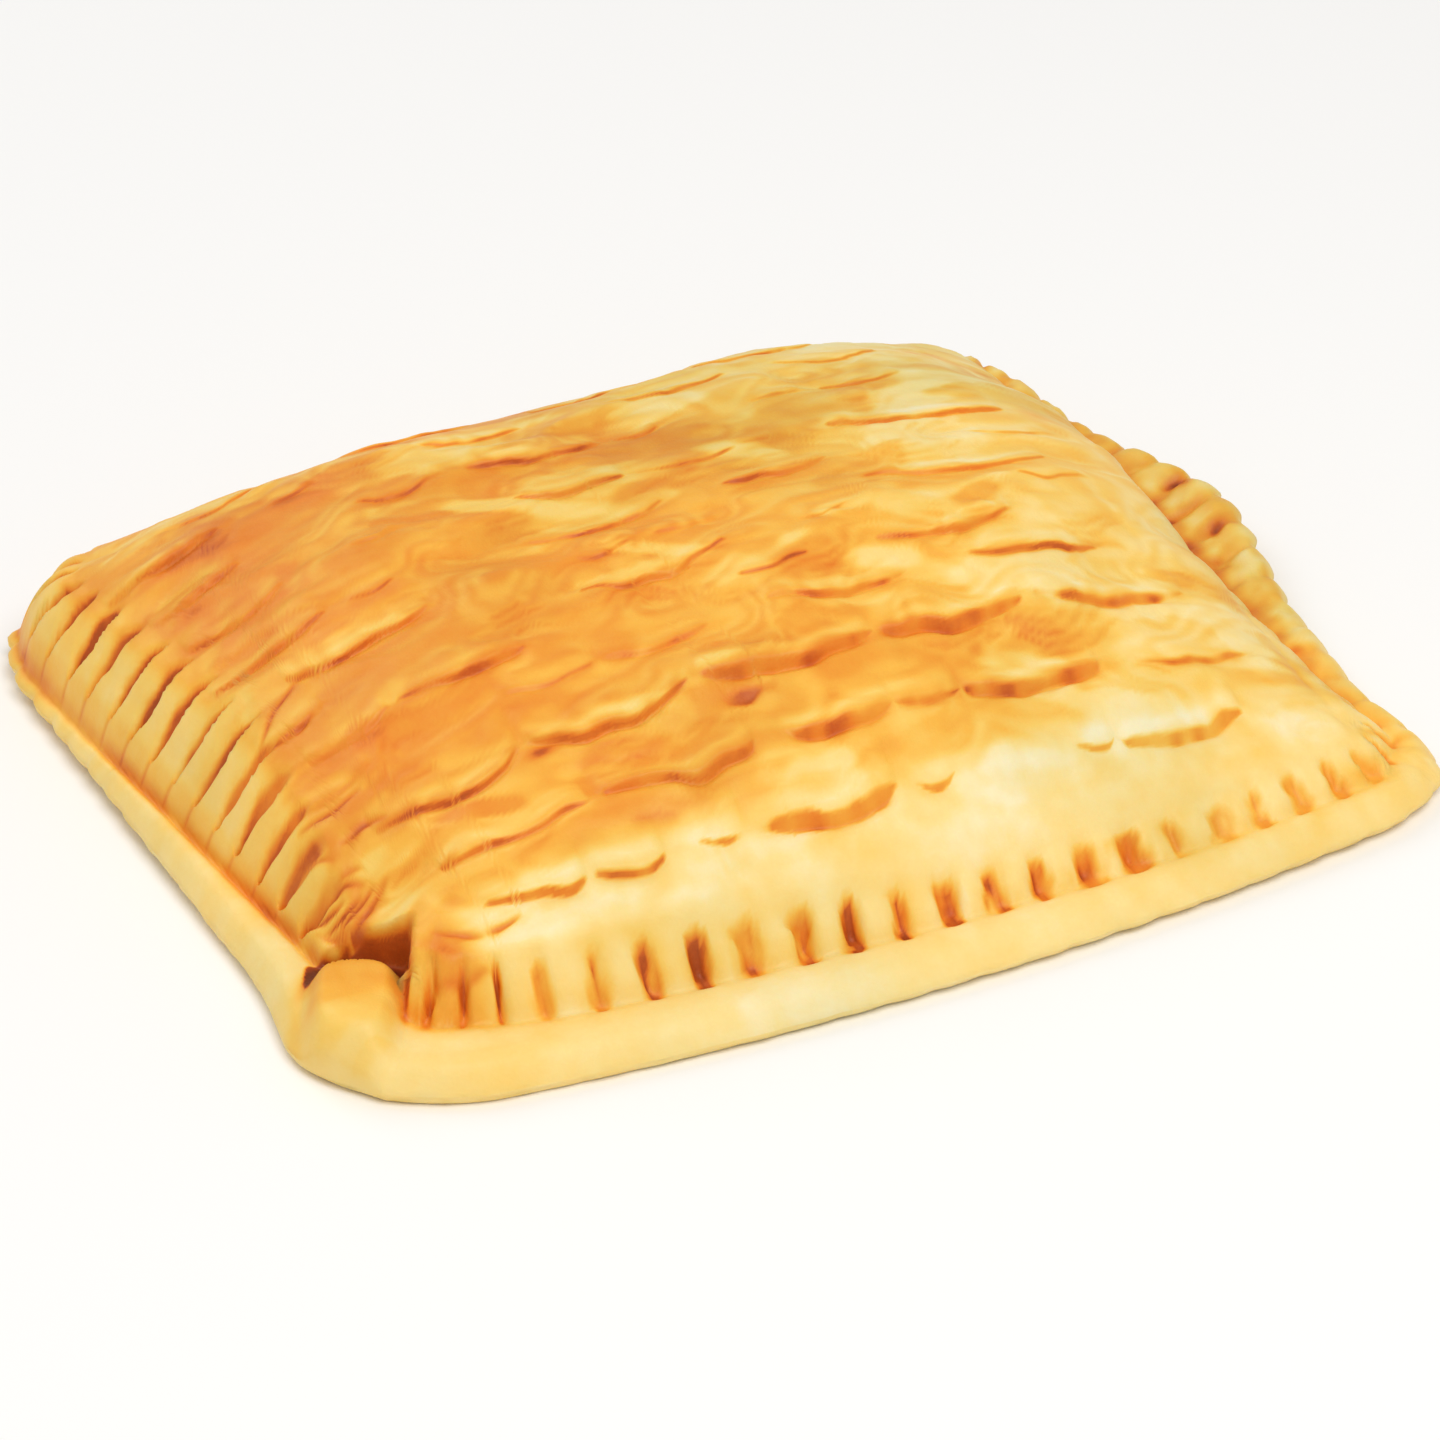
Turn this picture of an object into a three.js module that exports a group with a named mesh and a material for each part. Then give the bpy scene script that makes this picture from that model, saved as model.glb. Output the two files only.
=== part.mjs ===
// A rectangular puff pastry pie: two sheets of pastry pressed together all round by a toothed
// crimper, with a domed and slashed top. It is one solid, in millimetres, with +Z up, its long
// sides along X, and the middle of its box at x = 0 and y = 0 on the surface that it rests on.
// Every height is worked out on a flat rectangular sheet, which is then bowed into the plan.
import * as THREE from 'three';

// The flat sheet before it is bowed and puffed up
const HALF_LENGTH = 70;
const HALF_DEPTH = 54;
const CORNER_BLOCK = 20; // how far from a corner its fan of crimps reaches
const ROUND_BLOCK = 15; // how far from a corner its rounding reaches
const CORNER_BLEND = 5; // how softly two sides meet at a corner
const EVEN_OUT = { from: 0.15, over: 0.6 }; // where the stations count less, 0 is the middle

// The four corners, in the order front left, front right, back right, back left
const CORNER_ROUNDNESS = [0.76, 0.75, 0.6, 0.7];
const CORNER_SHIFT_X = [1.0, 1.3, 5.0, -0.4];
const CORNER_SHIFT_Y = [2.7, -3.7, 5.3, 3.6];

// How far the middle of each side bows outwards
const BOW = { front: 6.3, right: 0, back: 2.2, left: 0 };

// Local bulges of the outer edge, each with its place along the side, its reach and its width
const RIGHT_BULGE = { at: 5.5, out: 5.8, width: 17, lift: 3.4, fade: 10 };
const RIGHT_NECK = { at: -36, out: -2.1, width: 9 };
const LEFT_TAIL = { at: -41, out: 2.2, width: 9 };

// Eight stations round the pie: front left corner, front, front right corner, right,
// back right corner, back, back left corner, left
const FLANGE_WIDTH = [5.6, 4.9, 4.2, 8.0, 5.0, 4.0, 1.0, 3.0];
const EDGE_THICKNESS = [4.0, 3.5, 3.5, 3.5, 3.5, 3.5, 3.5, 4.0];
const EDGE_LIFT = [0, 0.3, 0.6, 0.5, 1.9, 0.6, 1.2, 0.8];
const LIFT_FADE = 2; // how far past the flange the lift ends
const WALL_RUN = [5.0, 6.2, 7.0, 8.6, 7.3, 7.3, 6.0, 7.6];
const WALL_RISE = [6.0, 6.0, 4.0, 9.3, 8.0, 8.2, 9.8, 9.0];
const WALL_FULLNESS = 2.3; // 1 is a straight slope, more bulges out
const FOOT_SINK = [0.4, 0.2, 0.2, 0, 0, 0, 0.4, 0.7]; // a crease where the wall meets the flange
const FOOT_WIDTH = 0.6;
const SCALLOP_DEPTH = [0, 0.2, 0.4, 1.1, 1.1, 0.9, 0.6, 0.15];
const FLANGE_CRIMP = [0, 0, 0.2, 0.9, 0.9, 0.8, 0.4, 0]; // how far a crimp sinks into the flange
const FLANGE_CROWN = { height: 0.8, run: 3 }; // the flange is thicker just inside its edge
const SEAM = { at: 0.42, out: 0.5 }; // the line between the two sheets, by the edge's thickness
const SHOULDER = { at: 0.93, inset: 0.9 }; // the rounded upper edge

// The dome above the crimped wall
const CROWN_RISE = 15.8;
const DOME_START = { left: 5, right: 11, front: 7.5, back: 6 };
const DOME_FULLNESS = { left: 3.2, right: 3.9, front: 3.0, back: 4.6 };
const LUMPS = { height: 0.45, fine: 8.5, middle: 14, broad: 23, broadShare: 0.6 };

// The crimps: narrow marks pressed into the wall, with broad ribs between them
const CRIMPS = { long: 17, corner: 6, short: 13 };
const CRIMP_START = [0.1, -0.4, -0.3, -0.5, -0.5, -0.5, 1.4, 1.8]; // from the wall's foot
const CRIMP_REACH = [0.8, 0.58, 0.6, 0.6, 0.75, 0.75, 1.25, 1.3]; // the share of the wall's run
const CRIMP_FADE = 0.28; // the share of the wall's run in which a mark ends
const CRIMP_HALF_WIDTH = 1.3;
const CRIMP_TAPER = [0.2, 0, 0, 0, 0, 0.2, 0.8, 1]; // 0 is blunt, 1 is drawn out to a point
const CRIMP_POINT = { least: 0.3, power: 0.6 }; // the width at a drawn out end
const CRIMP_LEAN = [0.1, 0, 0, 0, 0, 0, 0.2, 0.35]; // how far a mark leans over as it climbs
const CRIMP_SHIFT = { least: -0.25, most: 0.25 };
const CRIMP_SIZE = { least: 0.65, most: 1.15 };
const CRIMP_FORCE = { least: 0.7, most: 1.15 };
const CRIMP_PUSH = 1.5; // how far a mark pushes the wall inwards
const WALL_EASE = { before: 0.5, run: 0.8 }; // how a mark begins on the wall
const FLANGE_EASE = { before: 0.5, run: 1.5 }; // how it begins and ends on the flange
const CRIMP_SINK = [0.5, 0.45, 0.4, 0.6, 0.6, 0.6, 0.9, 1.0]; // how far it sinks, at the stations

// The slashes in the top, row by row from the front: the row's place and tilt, then the left end,
// the right end and the depth of each slash in it
const SLASH_ROWS = [
  { y: -40, tilt: 0, slashes: [[-50, -38, 0.8], [-37, -29, 0.8], [-25, -19.5, 0.5], [-18.5, -1, 1],
    [1, 6, 0.4], [22, 27, 0.4], [28, 46, 0.8]] },
  { y: -32.6, tilt: 0.01, slashes: [[-52, -34, 0.8], [-32.5, -14, 1.2], [-10, 3, 1.1],
    [3.5, 12, 0.6], [12.5, 31, 1.1], [35, 54, 0.5]] },
  { y: -24.4, tilt: 0.01, slashes: [[-55, -37.5, 0.9], [-36.5, -17.5, 1.3], [-15.5, 6, 1.2],
    [7, 26, 1.1], [27.5, 49, 0.8]] },
  { y: -17.4, tilt: 0.01, slashes: [[-60, -52, 0.5], [-36, -24.5, 0.5], [-24, -10.5, 0.6],
    [-3, 15, 0.8], [23, 41, 0.7]] },
  { y: -12.2, tilt: 0.02, slashes: [[-57, -47, 0.7], [-46, -30.5, 0.9], [-3.5, 5.5, 0.6],
    [14.5, 33, 0.9]] },
  { y: -6.2, tilt: 0.02, slashes: [[-60, -52.5, 0.7], [-20.5, -1.5, 0.7], [8, 15, 0.3],
    [37, 47, 0.4]] },
  { y: -0.6, tilt: 0, slashes: [[-54, -36.5, 1], [-18, -10, 0.5], [-8, 1, 0.3],
    [19.5, 43.5, 0.8]] },
  { y: 5.4, tilt: 0, slashes: [[-60, -46, 0.9], [-43, -37.5, 0.4], [-21.5, -3.5, 0.7],
    [4.5, 18, 0.7], [36, 48, 0.4]] },
  { y: 12.4, tilt: -0.04, slashes: [[-59, -47, 0.8], [-39, -33, 0.4], [-18.5, -4.5, 0.9],
    [-3, 10, 0.4], [21.5, 44.5, 1]] },
  { y: 21.8, tilt: -0.01, slashes: [[-60, -49, 0.8], [-34, -23.5, 0.6], [-20.5, -2.5, 0.9],
    [-1, 5, 0.5], [17, 24, 0.5], [26.5, 37.5, 0.6]] },
  { y: 30.4, tilt: -0.01, slashes: [[-62, -48, 0.9], [-41, -35, 0.5], [-22, -9, 0.6],
    [3, 19, 0.6], [25, 40, 0.5]] },
  { y: 37.4, tilt: -0.01, slashes: [[-53, -40, 0.5], [-29, -12, 0.6], [-4, 11, 0.5],
    [18, 35, 0.6]] },
];
const SLASH_SAG = { least: 0.05, most: 0.12 }; // how far it bows to the front, by its length
const SLASH_ENDS = 0.32; // 0 is square ends, more tapers them
const SLASH_SINK = 0.75;
const SLASH_GROOVE = { at: -0.3, width: 0.5 };
const SLASH_LIP = { height: 0.85, start: -0.2, rise: 0.8, reach: 2.6 };
const SLASH_LIMITS = { front: -6, back: 8 }; // how far from its line a slash is felt
const SLASH_LINE_OFFSETS = [-1.3, -0.3, 0.6, 2.0, 4.2]; // grid lines beside each row
const SLASH_SPREAD = 6.9; // rows closer than this leave out their last grid line

// The front left corner: the crust is set back there, and its crimps are weaker
const POCKET = { x: -57, y: -40, reach: 9, inset: 2.6, run: -2.4, shiftX: 2.2, shiftY: 1.2 };
const POCKET_START = { inset: 2, run: 6 };
const POCKET_CALM = 0.5;

// In front of the crust there is a thumb of pastry, placed in plan, with a slot behind it and
// down its right side, to which the crust sinks
const THUMB = { x: -63.3, y: -36.3, turn: 29, width: 6, front: 15, back: 5.8, height: 3.3 };
const THUMB_SQUARENESS = 3.2;
const THUMB_SOFTNESS = 0.4;
const SLOT = { back: 7.8, arch: 0.03, side: 6.3, edge: 1.2, floor: 4.8 };
const SLOT_FRONT = { right: -5, left: 1, run: 3 };
const DIP = { across: 1, behind: 8, width: 7, reach: 6, depth: 4.2, start: 2 };

// The mesh
const GRID = { left: -59, right: 54, front: -43.4, back: 43.4 };
const GRID_COLUMNS = 41;
const RING_GAP = 0.6; // least gap between the last ring and the grid
const LINE_GAP = 0.35; // least gap between two lines of the grid
const FLANGE_RINGS = [0.5, 0.8]; // the rings, by their share of the flange and of the wall
const WALL_RINGS = [0, 0.2, 0.45, 0.72, 1];
const RING_PASSES = 6;
const BASE_INSET = 10;
const BASE_COLUMNS = 6;
const CRUST_COLOUR = 0xe2a04a;

const LENGTH_RUN = 2 * (HALF_LENGTH - CORNER_BLOCK);
const DEPTH_RUN = 2 * (HALF_DEPTH - CORNER_BLOCK);
const CORNER_RUN = 2 * CORNER_BLOCK;

function clamp(value, low, high) {
  return Math.min(Math.max(value, low), high);
}

function smooth(value) {
  const t = clamp(value, 0, 1);
  return t * t * (3 - 2 * t);
}

function bell(value, centre, width) {
  return Math.exp(-(((value - centre) / width) ** 2));
}

// A value between the eight stations, by a smooth closed curve through them, which evens out
// towards the middle of the pie
function atStation(values, x, y) {
  const angle = Math.atan2(y / HALF_DEPTH, x / HALF_LENGTH);
  const turn = ((angle / (2 * Math.PI)) * 8 + 3 + 8) % 8;
  const index = Math.floor(turn) % 8;
  const t = turn - Math.floor(turn);
  const before = values[(index + 7) % 8];
  const here = values[index];
  const next = values[(index + 1) % 8];
  const after = values[(index + 2) % 8];
  const slope = next - before;
  const bend = 2 * before - 5 * here + 4 * next - after;
  const twist = 3 * here - before - 3 * next + after;
  const value = 0.5 * (2 * here + slope * t + bend * t * t + twist * t * t * t);
  const mean = values.reduce((sum, each) => sum + each, 0) / values.length;
  const outward = Math.max(Math.abs(x) / HALF_LENGTH, Math.abs(y) / HALF_DEPTH);
  return THREE.MathUtils.lerp(mean, value, smooth((outward - EVEN_OUT.from) / EVEN_OUT.over));
}

function edgeInset(x, y) {
  return Math.min(HALF_LENGTH - Math.abs(x), HALF_DEPTH - Math.abs(y));
}

function pocketShare(x, y) {
  return Math.exp(-(((x - POCKET.x) ** 2 + (y - POCKET.y) ** 2) / POCKET.reach ** 2));
}

function flangeWidth(x, y) {
  return atStation(FLANGE_WIDTH, x, y) + POCKET.inset * pocketShare(x, y);
}

function wallRun(x, y) {
  return atStation(WALL_RUN, x, y) + POCKET.run * pocketShare(x, y);
}

// The four corners' shares in a point of the sheet
function cornerShares(x, y) {
  const right = (x / HALF_LENGTH + 1) / 2;
  const back = (y / HALF_DEPTH + 1) / 2;
  return [(1 - right) * (1 - back), right * (1 - back), right * back, (1 - right) * back];
}

function mixCorners(values, shares) {
  return values.reduce((sum, value, index) => sum + value * shares[index], 0);
}

// Where a point of the flat rectangular sheet lies in plan
function plan(x, y) {
  const overX = Math.max(Math.abs(x) - (HALF_LENGTH - ROUND_BLOCK), 0);
  const overY = Math.max(Math.abs(y) - (HALF_DEPTH - ROUND_BLOCK), 0);
  const reach = Math.hypot(overX, overY);
  const squash = reach > 0 ? Math.max(overX, overY) / reach : 1;
  const shares = cornerShares(x, y);
  const keep = 1 - mixCorners(CORNER_ROUNDNESS, shares) * (1 - squash);
  const roundX = overX > 0 ? Math.sign(x) * (HALF_LENGTH - ROUND_BLOCK + overX * keep) : x;
  const roundY = overY > 0 ? Math.sign(y) * (HALF_DEPTH - ROUND_BLOCK + overY * keep) : y;
  const alongX = roundX / HALF_LENGTH;
  const alongY = roundY / HALF_DEPTH;
  const toRight = clamp(alongX, 0, 1);
  const toLeft = clamp(-alongX, 0, 1);
  const toBack = clamp(alongY, 0, 1);
  const toFront = clamp(-alongY, 0, 1);
  let outX = roundX + mixCorners(CORNER_SHIFT_X, shares);
  let outY = roundY + mixCorners(CORNER_SHIFT_Y, shares);
  outX += (toRight ** 2 * BOW.right - toLeft ** 2 * BOW.left) * (1 - alongY ** 2);
  outY += (toBack ** 2 * BOW.back - toFront ** 2 * BOW.front) * (1 - alongX ** 2);
  outX += toRight ** 3 * RIGHT_BULGE.out * bell(y, RIGHT_BULGE.at, RIGHT_BULGE.width);
  outX += toRight ** 3 * RIGHT_NECK.out * bell(y, RIGHT_NECK.at, RIGHT_NECK.width);
  outX -= toLeft ** 3 * LEFT_TAIL.out * bell(y, LEFT_TAIL.at, LEFT_TAIL.width);
  const fromStart = edgeInset(x, y) - POCKET_START.inset;
  const setBack = pocketShare(x, y) * smooth(fromStart / POCKET_START.run);
  return [outX + POCKET.shiftX * setBack, outY + POCKET.shiftY * setBack];
}

// The share of a corner's run that is passed, from its first side to its second
function cornerShare(first, second) {
  return first <= second ? (0.5 * first) / Math.max(second, 1e-9) : 1 - (0.5 * second) / first;
}

// How far round the edge a point is, anticlockwise from the left end of the front's straight run
function along(x, y) {
  const overX = Math.abs(x) - (HALF_LENGTH - CORNER_BLOCK);
  const overY = Math.abs(y) - (HALF_DEPTH - CORNER_BLOCK);
  const half = LENGTH_RUN + DEPTH_RUN + 2 * CORNER_RUN;
  if (overX <= 0 && (overY > 0 || edgeInset(x, y) === HALF_DEPTH - Math.abs(y))) {
    return y < 0 ? x + LENGTH_RUN / 2 : half + LENGTH_RUN / 2 - x;
  }
  if (overY <= 0) {
    const start = LENGTH_RUN + CORNER_RUN + DEPTH_RUN / 2;
    return x > 0 ? start + y : half + start - y;
  }
  const afterLong = x * y < 0 ? cornerShare(overX, overY) : cornerShare(overY, overX);
  if (y < 0) {
    return x > 0 ? LENGTH_RUN + afterLong * CORNER_RUN : 2 * half - CORNER_RUN + afterLong * CORNER_RUN;
  }
  return x > 0 ? half - CORNER_RUN + afterLong * CORNER_RUN : half + LENGTH_RUN + afterLong * CORNER_RUN;
}

// The straight runs and the corners, in order, with the number of crimps on each
const RUNS = [];
for (let half = 0; half < 2; half += 1) {
  RUNS.push({ length: LENGTH_RUN, crimps: CRIMPS.long });
  RUNS.push({ length: CORNER_RUN, crimps: CRIMPS.corner });
  RUNS.push({ length: DEPTH_RUN, crimps: CRIMPS.short });
  RUNS.push({ length: CORNER_RUN, crimps: CRIMPS.corner });
}

const TOTAL_RUN = RUNS.reduce((sum, run) => sum + run.length, 0);

// Distance along the edge from the nearest crimp, and that crimp's number
function fromCrimp(x, y) {
  let rest = along(x, y);
  let passed = 0;
  for (const run of RUNS) {
    const pitch = run.length / run.crimps;
    if (rest < run.length || run === RUNS[RUNS.length - 1]) {
      const turns = rest / pitch;
      return { distance: ((turns % 1) - 0.5) * pitch, number: passed + Math.floor(turns) };
    }
    rest -= run.length;
    passed += run.crimps;
  }
  return { distance: 0, number: 0 };
}

// A fixed draw between two limits for each crimp
function drawCrimp(limits, number, seed) {
  const wave = Math.sin(number * 12.9898 + seed * 78.233) * 43758.5453;
  return THREE.MathUtils.lerp(limits.least, limits.most, wave - Math.floor(wave));
}

// How narrow a mark is at a distance from the wall's foot
function crimpSlimness(x, y, fromFoot) {
  const start = atStation(CRIMP_START, x, y);
  const length = atStation(CRIMP_REACH, x, y) * wallRun(x, y) - start;
  const swell = Math.sin(Math.PI * clamp((fromFoot - start) / length, 0, 1)) ** CRIMP_POINT.power;
  const drawnOut = Math.max(swell, CRIMP_POINT.least);
  return THREE.MathUtils.lerp(1, drawnOut, clamp(atStation(CRIMP_TAPER, x, y), 0, 1));
}

// How strongly a point is pressed in by its crimp
function crimpStrength(x, y, fromFoot = 0, slimness = 1) {
  const { distance, number } = fromCrimp(x, y);
  const shift = drawCrimp(CRIMP_SHIFT, number, 1) + atStation(CRIMP_LEAN, x, y) * fromFoot;
  const width = CRIMP_HALF_WIDTH * drawCrimp(CRIMP_SIZE, number, 2) * slimness;
  const force = drawCrimp(CRIMP_FORCE, number, 3) * (1 - POCKET_CALM * pocketShare(x, y));
  return force * bell(distance, shift, width);
}

// One side's share of the dome: nothing at its start, and full at the middle of the pie
function domeShare(value, half, start, fullness) {
  const t = clamp((half - Math.abs(value) - start) / (half - start), 0, 1);
  return 1 - (1 - t) ** fullness;
}

function domeHeight(x, y) {
  const sideX = x < 0 ? 'left' : 'right';
  const sideY = y < 0 ? 'front' : 'back';
  const shareX = domeShare(x, HALF_LENGTH, DOME_START[sideX], DOME_FULLNESS[sideX]);
  const shareY = domeShare(y, HALF_DEPTH, DOME_START[sideY], DOME_FULLNESS[sideY]);
  const fine = Math.sin(x / LUMPS.fine + y / LUMPS.broad + 1) * Math.cos(y / LUMPS.fine - x / LUMPS.broad);
  const broad = LUMPS.broadShare * Math.sin((x - y) / LUMPS.middle);
  return shareX * shareY * (CROWN_RISE + LUMPS.height * (fine + broad));
}

// A fixed draw between two limits for each slash of each row
function draw(limits, row, slash, seed) {
  const wave = Math.sin(SLASH_ROWS.indexOf(row) * 12.9898 + slash * 78.233 + seed * 37.719) * 43758.5453;
  return THREE.MathUtils.lerp(limits.least, limits.most, wave - Math.floor(wave));
}

// The middle line of a slash row, and how deep the row is cut at x
function slashRow(row, x) {
  let y = row.y + row.tilt * x;
  let depth = 0;
  row.slashes.forEach(([left, right, full], slash) => {
    const cut = Math.sin(Math.PI * clamp((x - left) / (right - left), 0, 1));
    y -= cut * (right - left) * draw(SLASH_SAG, row, slash, 2);
    if (cut > 0) depth = Math.max(depth, full * cut ** SLASH_ENDS);
  });
  return { y, depth };
}

// A slash is a groove with a raised lip behind it
function slashRelief(x, y) {
  let relief = 0;
  for (const row of SLASH_ROWS) {
    const line = slashRow(row, x);
    const past = y - line.y;
    if (past > SLASH_LIMITS.front && past < SLASH_LIMITS.back) {
      const groove = bell(past, SLASH_GROOVE.at, SLASH_GROOVE.width);
      const rise = smooth((past - SLASH_LIP.start) / SLASH_LIP.rise);
      const lip = rise * Math.exp(-Math.max(past, 0) / SLASH_LIP.reach);
      relief += line.depth * (SLASH_LIP.height * lip - SLASH_SINK * groove);
    }
  }
  return relief;
}

// How far a point is across the thumb and behind its middle, in plan
function thumbPlace(x, y) {
  const turn = THREE.MathUtils.degToRad(THUMB.turn);
  const [planX, planY] = plan(x, y);
  const fromX = planX - THUMB.x;
  const fromY = planY - THUMB.y;
  const across = fromX * Math.cos(turn) - fromY * Math.sin(turn);
  return { across, behind: fromX * Math.sin(turn) + fromY * Math.cos(turn) };
}

function thumbHeight(across, behind) {
  const half = behind < 0 ? THUMB.front : THUMB.back;
  const wide = Math.abs(across / THUMB.width) ** THUMB_SQUARENESS;
  const long = Math.abs(behind / half) ** THUMB_SQUARENESS;
  return THUMB.height * smooth((1 - (wide + long) ** (1 / THUMB_SQUARENESS)) / THUMB_SOFTNESS);
}

function slotShare(across, behind) {
  const back = smooth((SLOT.back - SLOT.arch * across ** 2 - behind) / SLOT.edge);
  const side = smooth((SLOT.side - Math.abs(across)) / SLOT.edge);
  const toLeft = smooth(-across / SLOT_FRONT.run);
  const front = THREE.MathUtils.lerp(SLOT_FRONT.right, SLOT_FRONT.left, toLeft);
  return back * side * smooth((behind - front) / SLOT_FRONT.run);
}

function dip(across, behind) {
  return DIP.depth * bell(across, DIP.across, DIP.width) * bell(behind, DIP.behind, DIP.reach);
}

// The inset from the edge, with the line where two sides meet at a corner rounded off
function roundedInset(x, y) {
  const fromSide = HALF_LENGTH - Math.abs(x);
  const fromEnd = HALF_DEPTH - Math.abs(y);
  const inset = Math.min(fromSide, fromEnd);
  const overlap = Math.max(CORNER_BLEND - Math.abs(fromSide - fromEnd), 0) / CORNER_BLEND;
  return inset - ((overlap ** 2 * CORNER_BLEND) / 4) * smooth(inset / CORNER_BLEND);
}

// How far the bulge of the right side is lifted off the surface under the pie
function bulgeLift(x, y) {
  const toRight = clamp(x / HALF_LENGTH, 0, 1) ** 6;
  return RIGHT_BULGE.lift * toRight * bell(y, RIGHT_BULGE.at, RIGHT_BULGE.width);
}

// The height of the top of the pastry
function topHeight(x, y) {
  const inset = roundedInset(x, y);
  const flange = flangeWidth(x, y);
  const fromFoot = inset - flange;
  const run = wallRun(x, y);
  const slimness = crimpSlimness(x, y, fromFoot);
  const strength = crimpStrength(x, y, Math.max(fromFoot, 0), slimness);
  const start = atStation(CRIMP_START, x, y);
  const reach = atStation(CRIMP_REACH, x, y);
  const ending = smooth((fromFoot / run - reach) / CRIMP_FADE + 1);
  const onWall = smooth((fromFoot - start + WALL_EASE.before) / WALL_EASE.run) * (1 - ending);
  const wallShare = clamp((fromFoot - CRIMP_PUSH * strength * onWall) / run, 0, 1);
  let height = atStation(EDGE_THICKNESS, x, y) + FLANGE_CROWN.height * smooth(inset / FLANGE_CROWN.run);
  height += atStation(EDGE_LIFT, x, y) * (1 - smooth(inset / (flange + LIFT_FADE)));
  height += bulgeLift(x, y) * (1 - smooth(inset / RIGHT_BULGE.fade));
  height += atStation(WALL_RISE, x, y) * (1 - (1 - wallShare) ** WALL_FULLNESS);
  height += domeHeight(x, y) - atStation(CRIMP_SINK, x, y) * strength * onWall;
  height -= atStation(FOOT_SINK, x, y) * bell(fromFoot, 0, FOOT_WIDTH);
  const beforeFoot = smooth((FLANGE_EASE.before - fromFoot) / FLANGE_EASE.run);
  const onFlange = beforeFoot * smooth(inset / FLANGE_EASE.run);
  height += slashRelief(x, y) - atStation(FLANGE_CRIMP, x, y) * strength * onFlange;

  const { across, behind } = thumbPlace(x, y);
  height -= dip(across, behind) * smooth(fromFoot / DIP.start);
  const cut = THREE.MathUtils.lerp(height, Math.min(height, SLOT.floor), slotShare(across, behind));
  return cut + thumbHeight(across, behind);
}

// How far the underside of the edge is off the surface that the pie rests on
function undersideLift(x, y) {
  return Math.max(atStation(EDGE_LIFT, x, y), 0) + bulgeLift(x, y);
}

const positions = [];
const triangles = [];

function addVertex(x, y, z) {
  positions.push(x, y, z);
  return positions.length / 3 - 1;
}

// A vertex with its place round the edge, so that two loops can be stitched together
function addStop(x, y, z, outward = 0) {
  const [planX, planY] = plan(x, y);
  const reach = Math.hypot(planX, planY);
  const grow = 1 + outward / reach;
  return { index: addVertex(planX * grow, planY * grow, z), at: along(x, y) };
}

// The point of the sheet at a place round the edge and at an inset from it
function sheetPoint(place, inset) {
  const longEnd = HALF_LENGTH - CORNER_BLOCK;
  const shortEnd = HALF_DEPTH - CORNER_BLOCK;
  const leg = CORNER_BLOCK - inset;
  let rest = place;
  let turn = 0;
  for (const run of RUNS) {
    if (rest < run.length) break;
    rest -= run.length;
    turn += 1;
  }
  const sign = turn % 8 < 4 ? 1 : -1;
  if (turn % 4 === 0) return [sign * (rest - longEnd), -sign * (HALF_DEPTH - inset)];
  if (turn % 4 === 2) return [sign * (HALF_LENGTH - inset), sign * (rest - shortEnd)];
  const share = rest / CORNER_RUN;
  const first = Math.min(share, 0.5) * 2 * leg;
  const second = Math.max(share - 0.5, 0) * 2 * leg;
  if (turn % 4 === 1) return [sign * (longEnd + first), sign * (second - HALF_DEPTH + inset)];
  return [sign * (HALF_LENGTH - inset - second), sign * (shortEnd + first)];
}

// The places round the edge where the rings have a vertex: four to a crimp
const PLACES = [];
let runStart = 0;
for (const run of RUNS) {
  const pitch = run.length / run.crimps;
  for (let crimp = 0; crimp < run.crimps; crimp += 1) {
    const number = PLACES.length / 4;
    const border = runStart + crimp * pitch;
    const centre = border + pitch / 2 + drawCrimp(CRIMP_SHIFT, number, 1);
    const side = CRIMP_HALF_WIDTH * drawCrimp(CRIMP_SIZE, number, 2);
    PLACES.push(border, centre - side, centre, centre + side);
  }
  runStart += run.length;
}

// Two closed loops become a strip of triangles, whichever loop is behind moving on first
function stitch(outer, inner, total) {
  let i = 0;
  let j = 0;
  const placeOf = (loop, k) => loop[k % loop.length].at + (k >= loop.length ? total : 0);
  while (i < outer.length || j < inner.length) {
    const outerHere = outer[i % outer.length].index;
    const innerHere = inner[j % inner.length].index;
    const outerIsBehind = i < outer.length && placeOf(outer, i + 1) <= placeOf(inner, j + 1);
    if (j >= inner.length || outerIsBehind) {
      i += 1;
      triangles.push([outerHere, outer[i % outer.length].index, innerHere]);
    } else {
      j += 1;
      triangles.push([outerHere, inner[j % inner.length].index, innerHere]);
    }
  }
}

// A ring round the pie, which follows the lean of the crimps. Its inset and its lean depend on
// where it runs, so that it settles in a few passes.
function addRing(insetOf, heightOf, outwardOf) {
  return PLACES.map((place) => {
    let [x, y] = sheetPoint(place, 0);
    let leaning = place;
    const outward = outwardOf(x, y);
    for (let pass = 0; pass < RING_PASSES; pass += 1) {
      const inset = insetOf(x, y);
      const lean = atStation(CRIMP_LEAN, x, y) * Math.max(inset - flangeWidth(x, y), 0);
      leaning = (place + lean) % TOTAL_RUN;
      [x, y] = sheetPoint(leaning, inset);
    }
    return { index: addStop(x, y, heightOf(x, y), outward).index, at: place, leaning };
  });
}

// The scallops of the outer edge: each rib bulges out between two crimps
function scallop(x, y) {
  return -atStation(SCALLOP_DEPTH, x, y) * crimpStrength(x, y);
}

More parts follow.
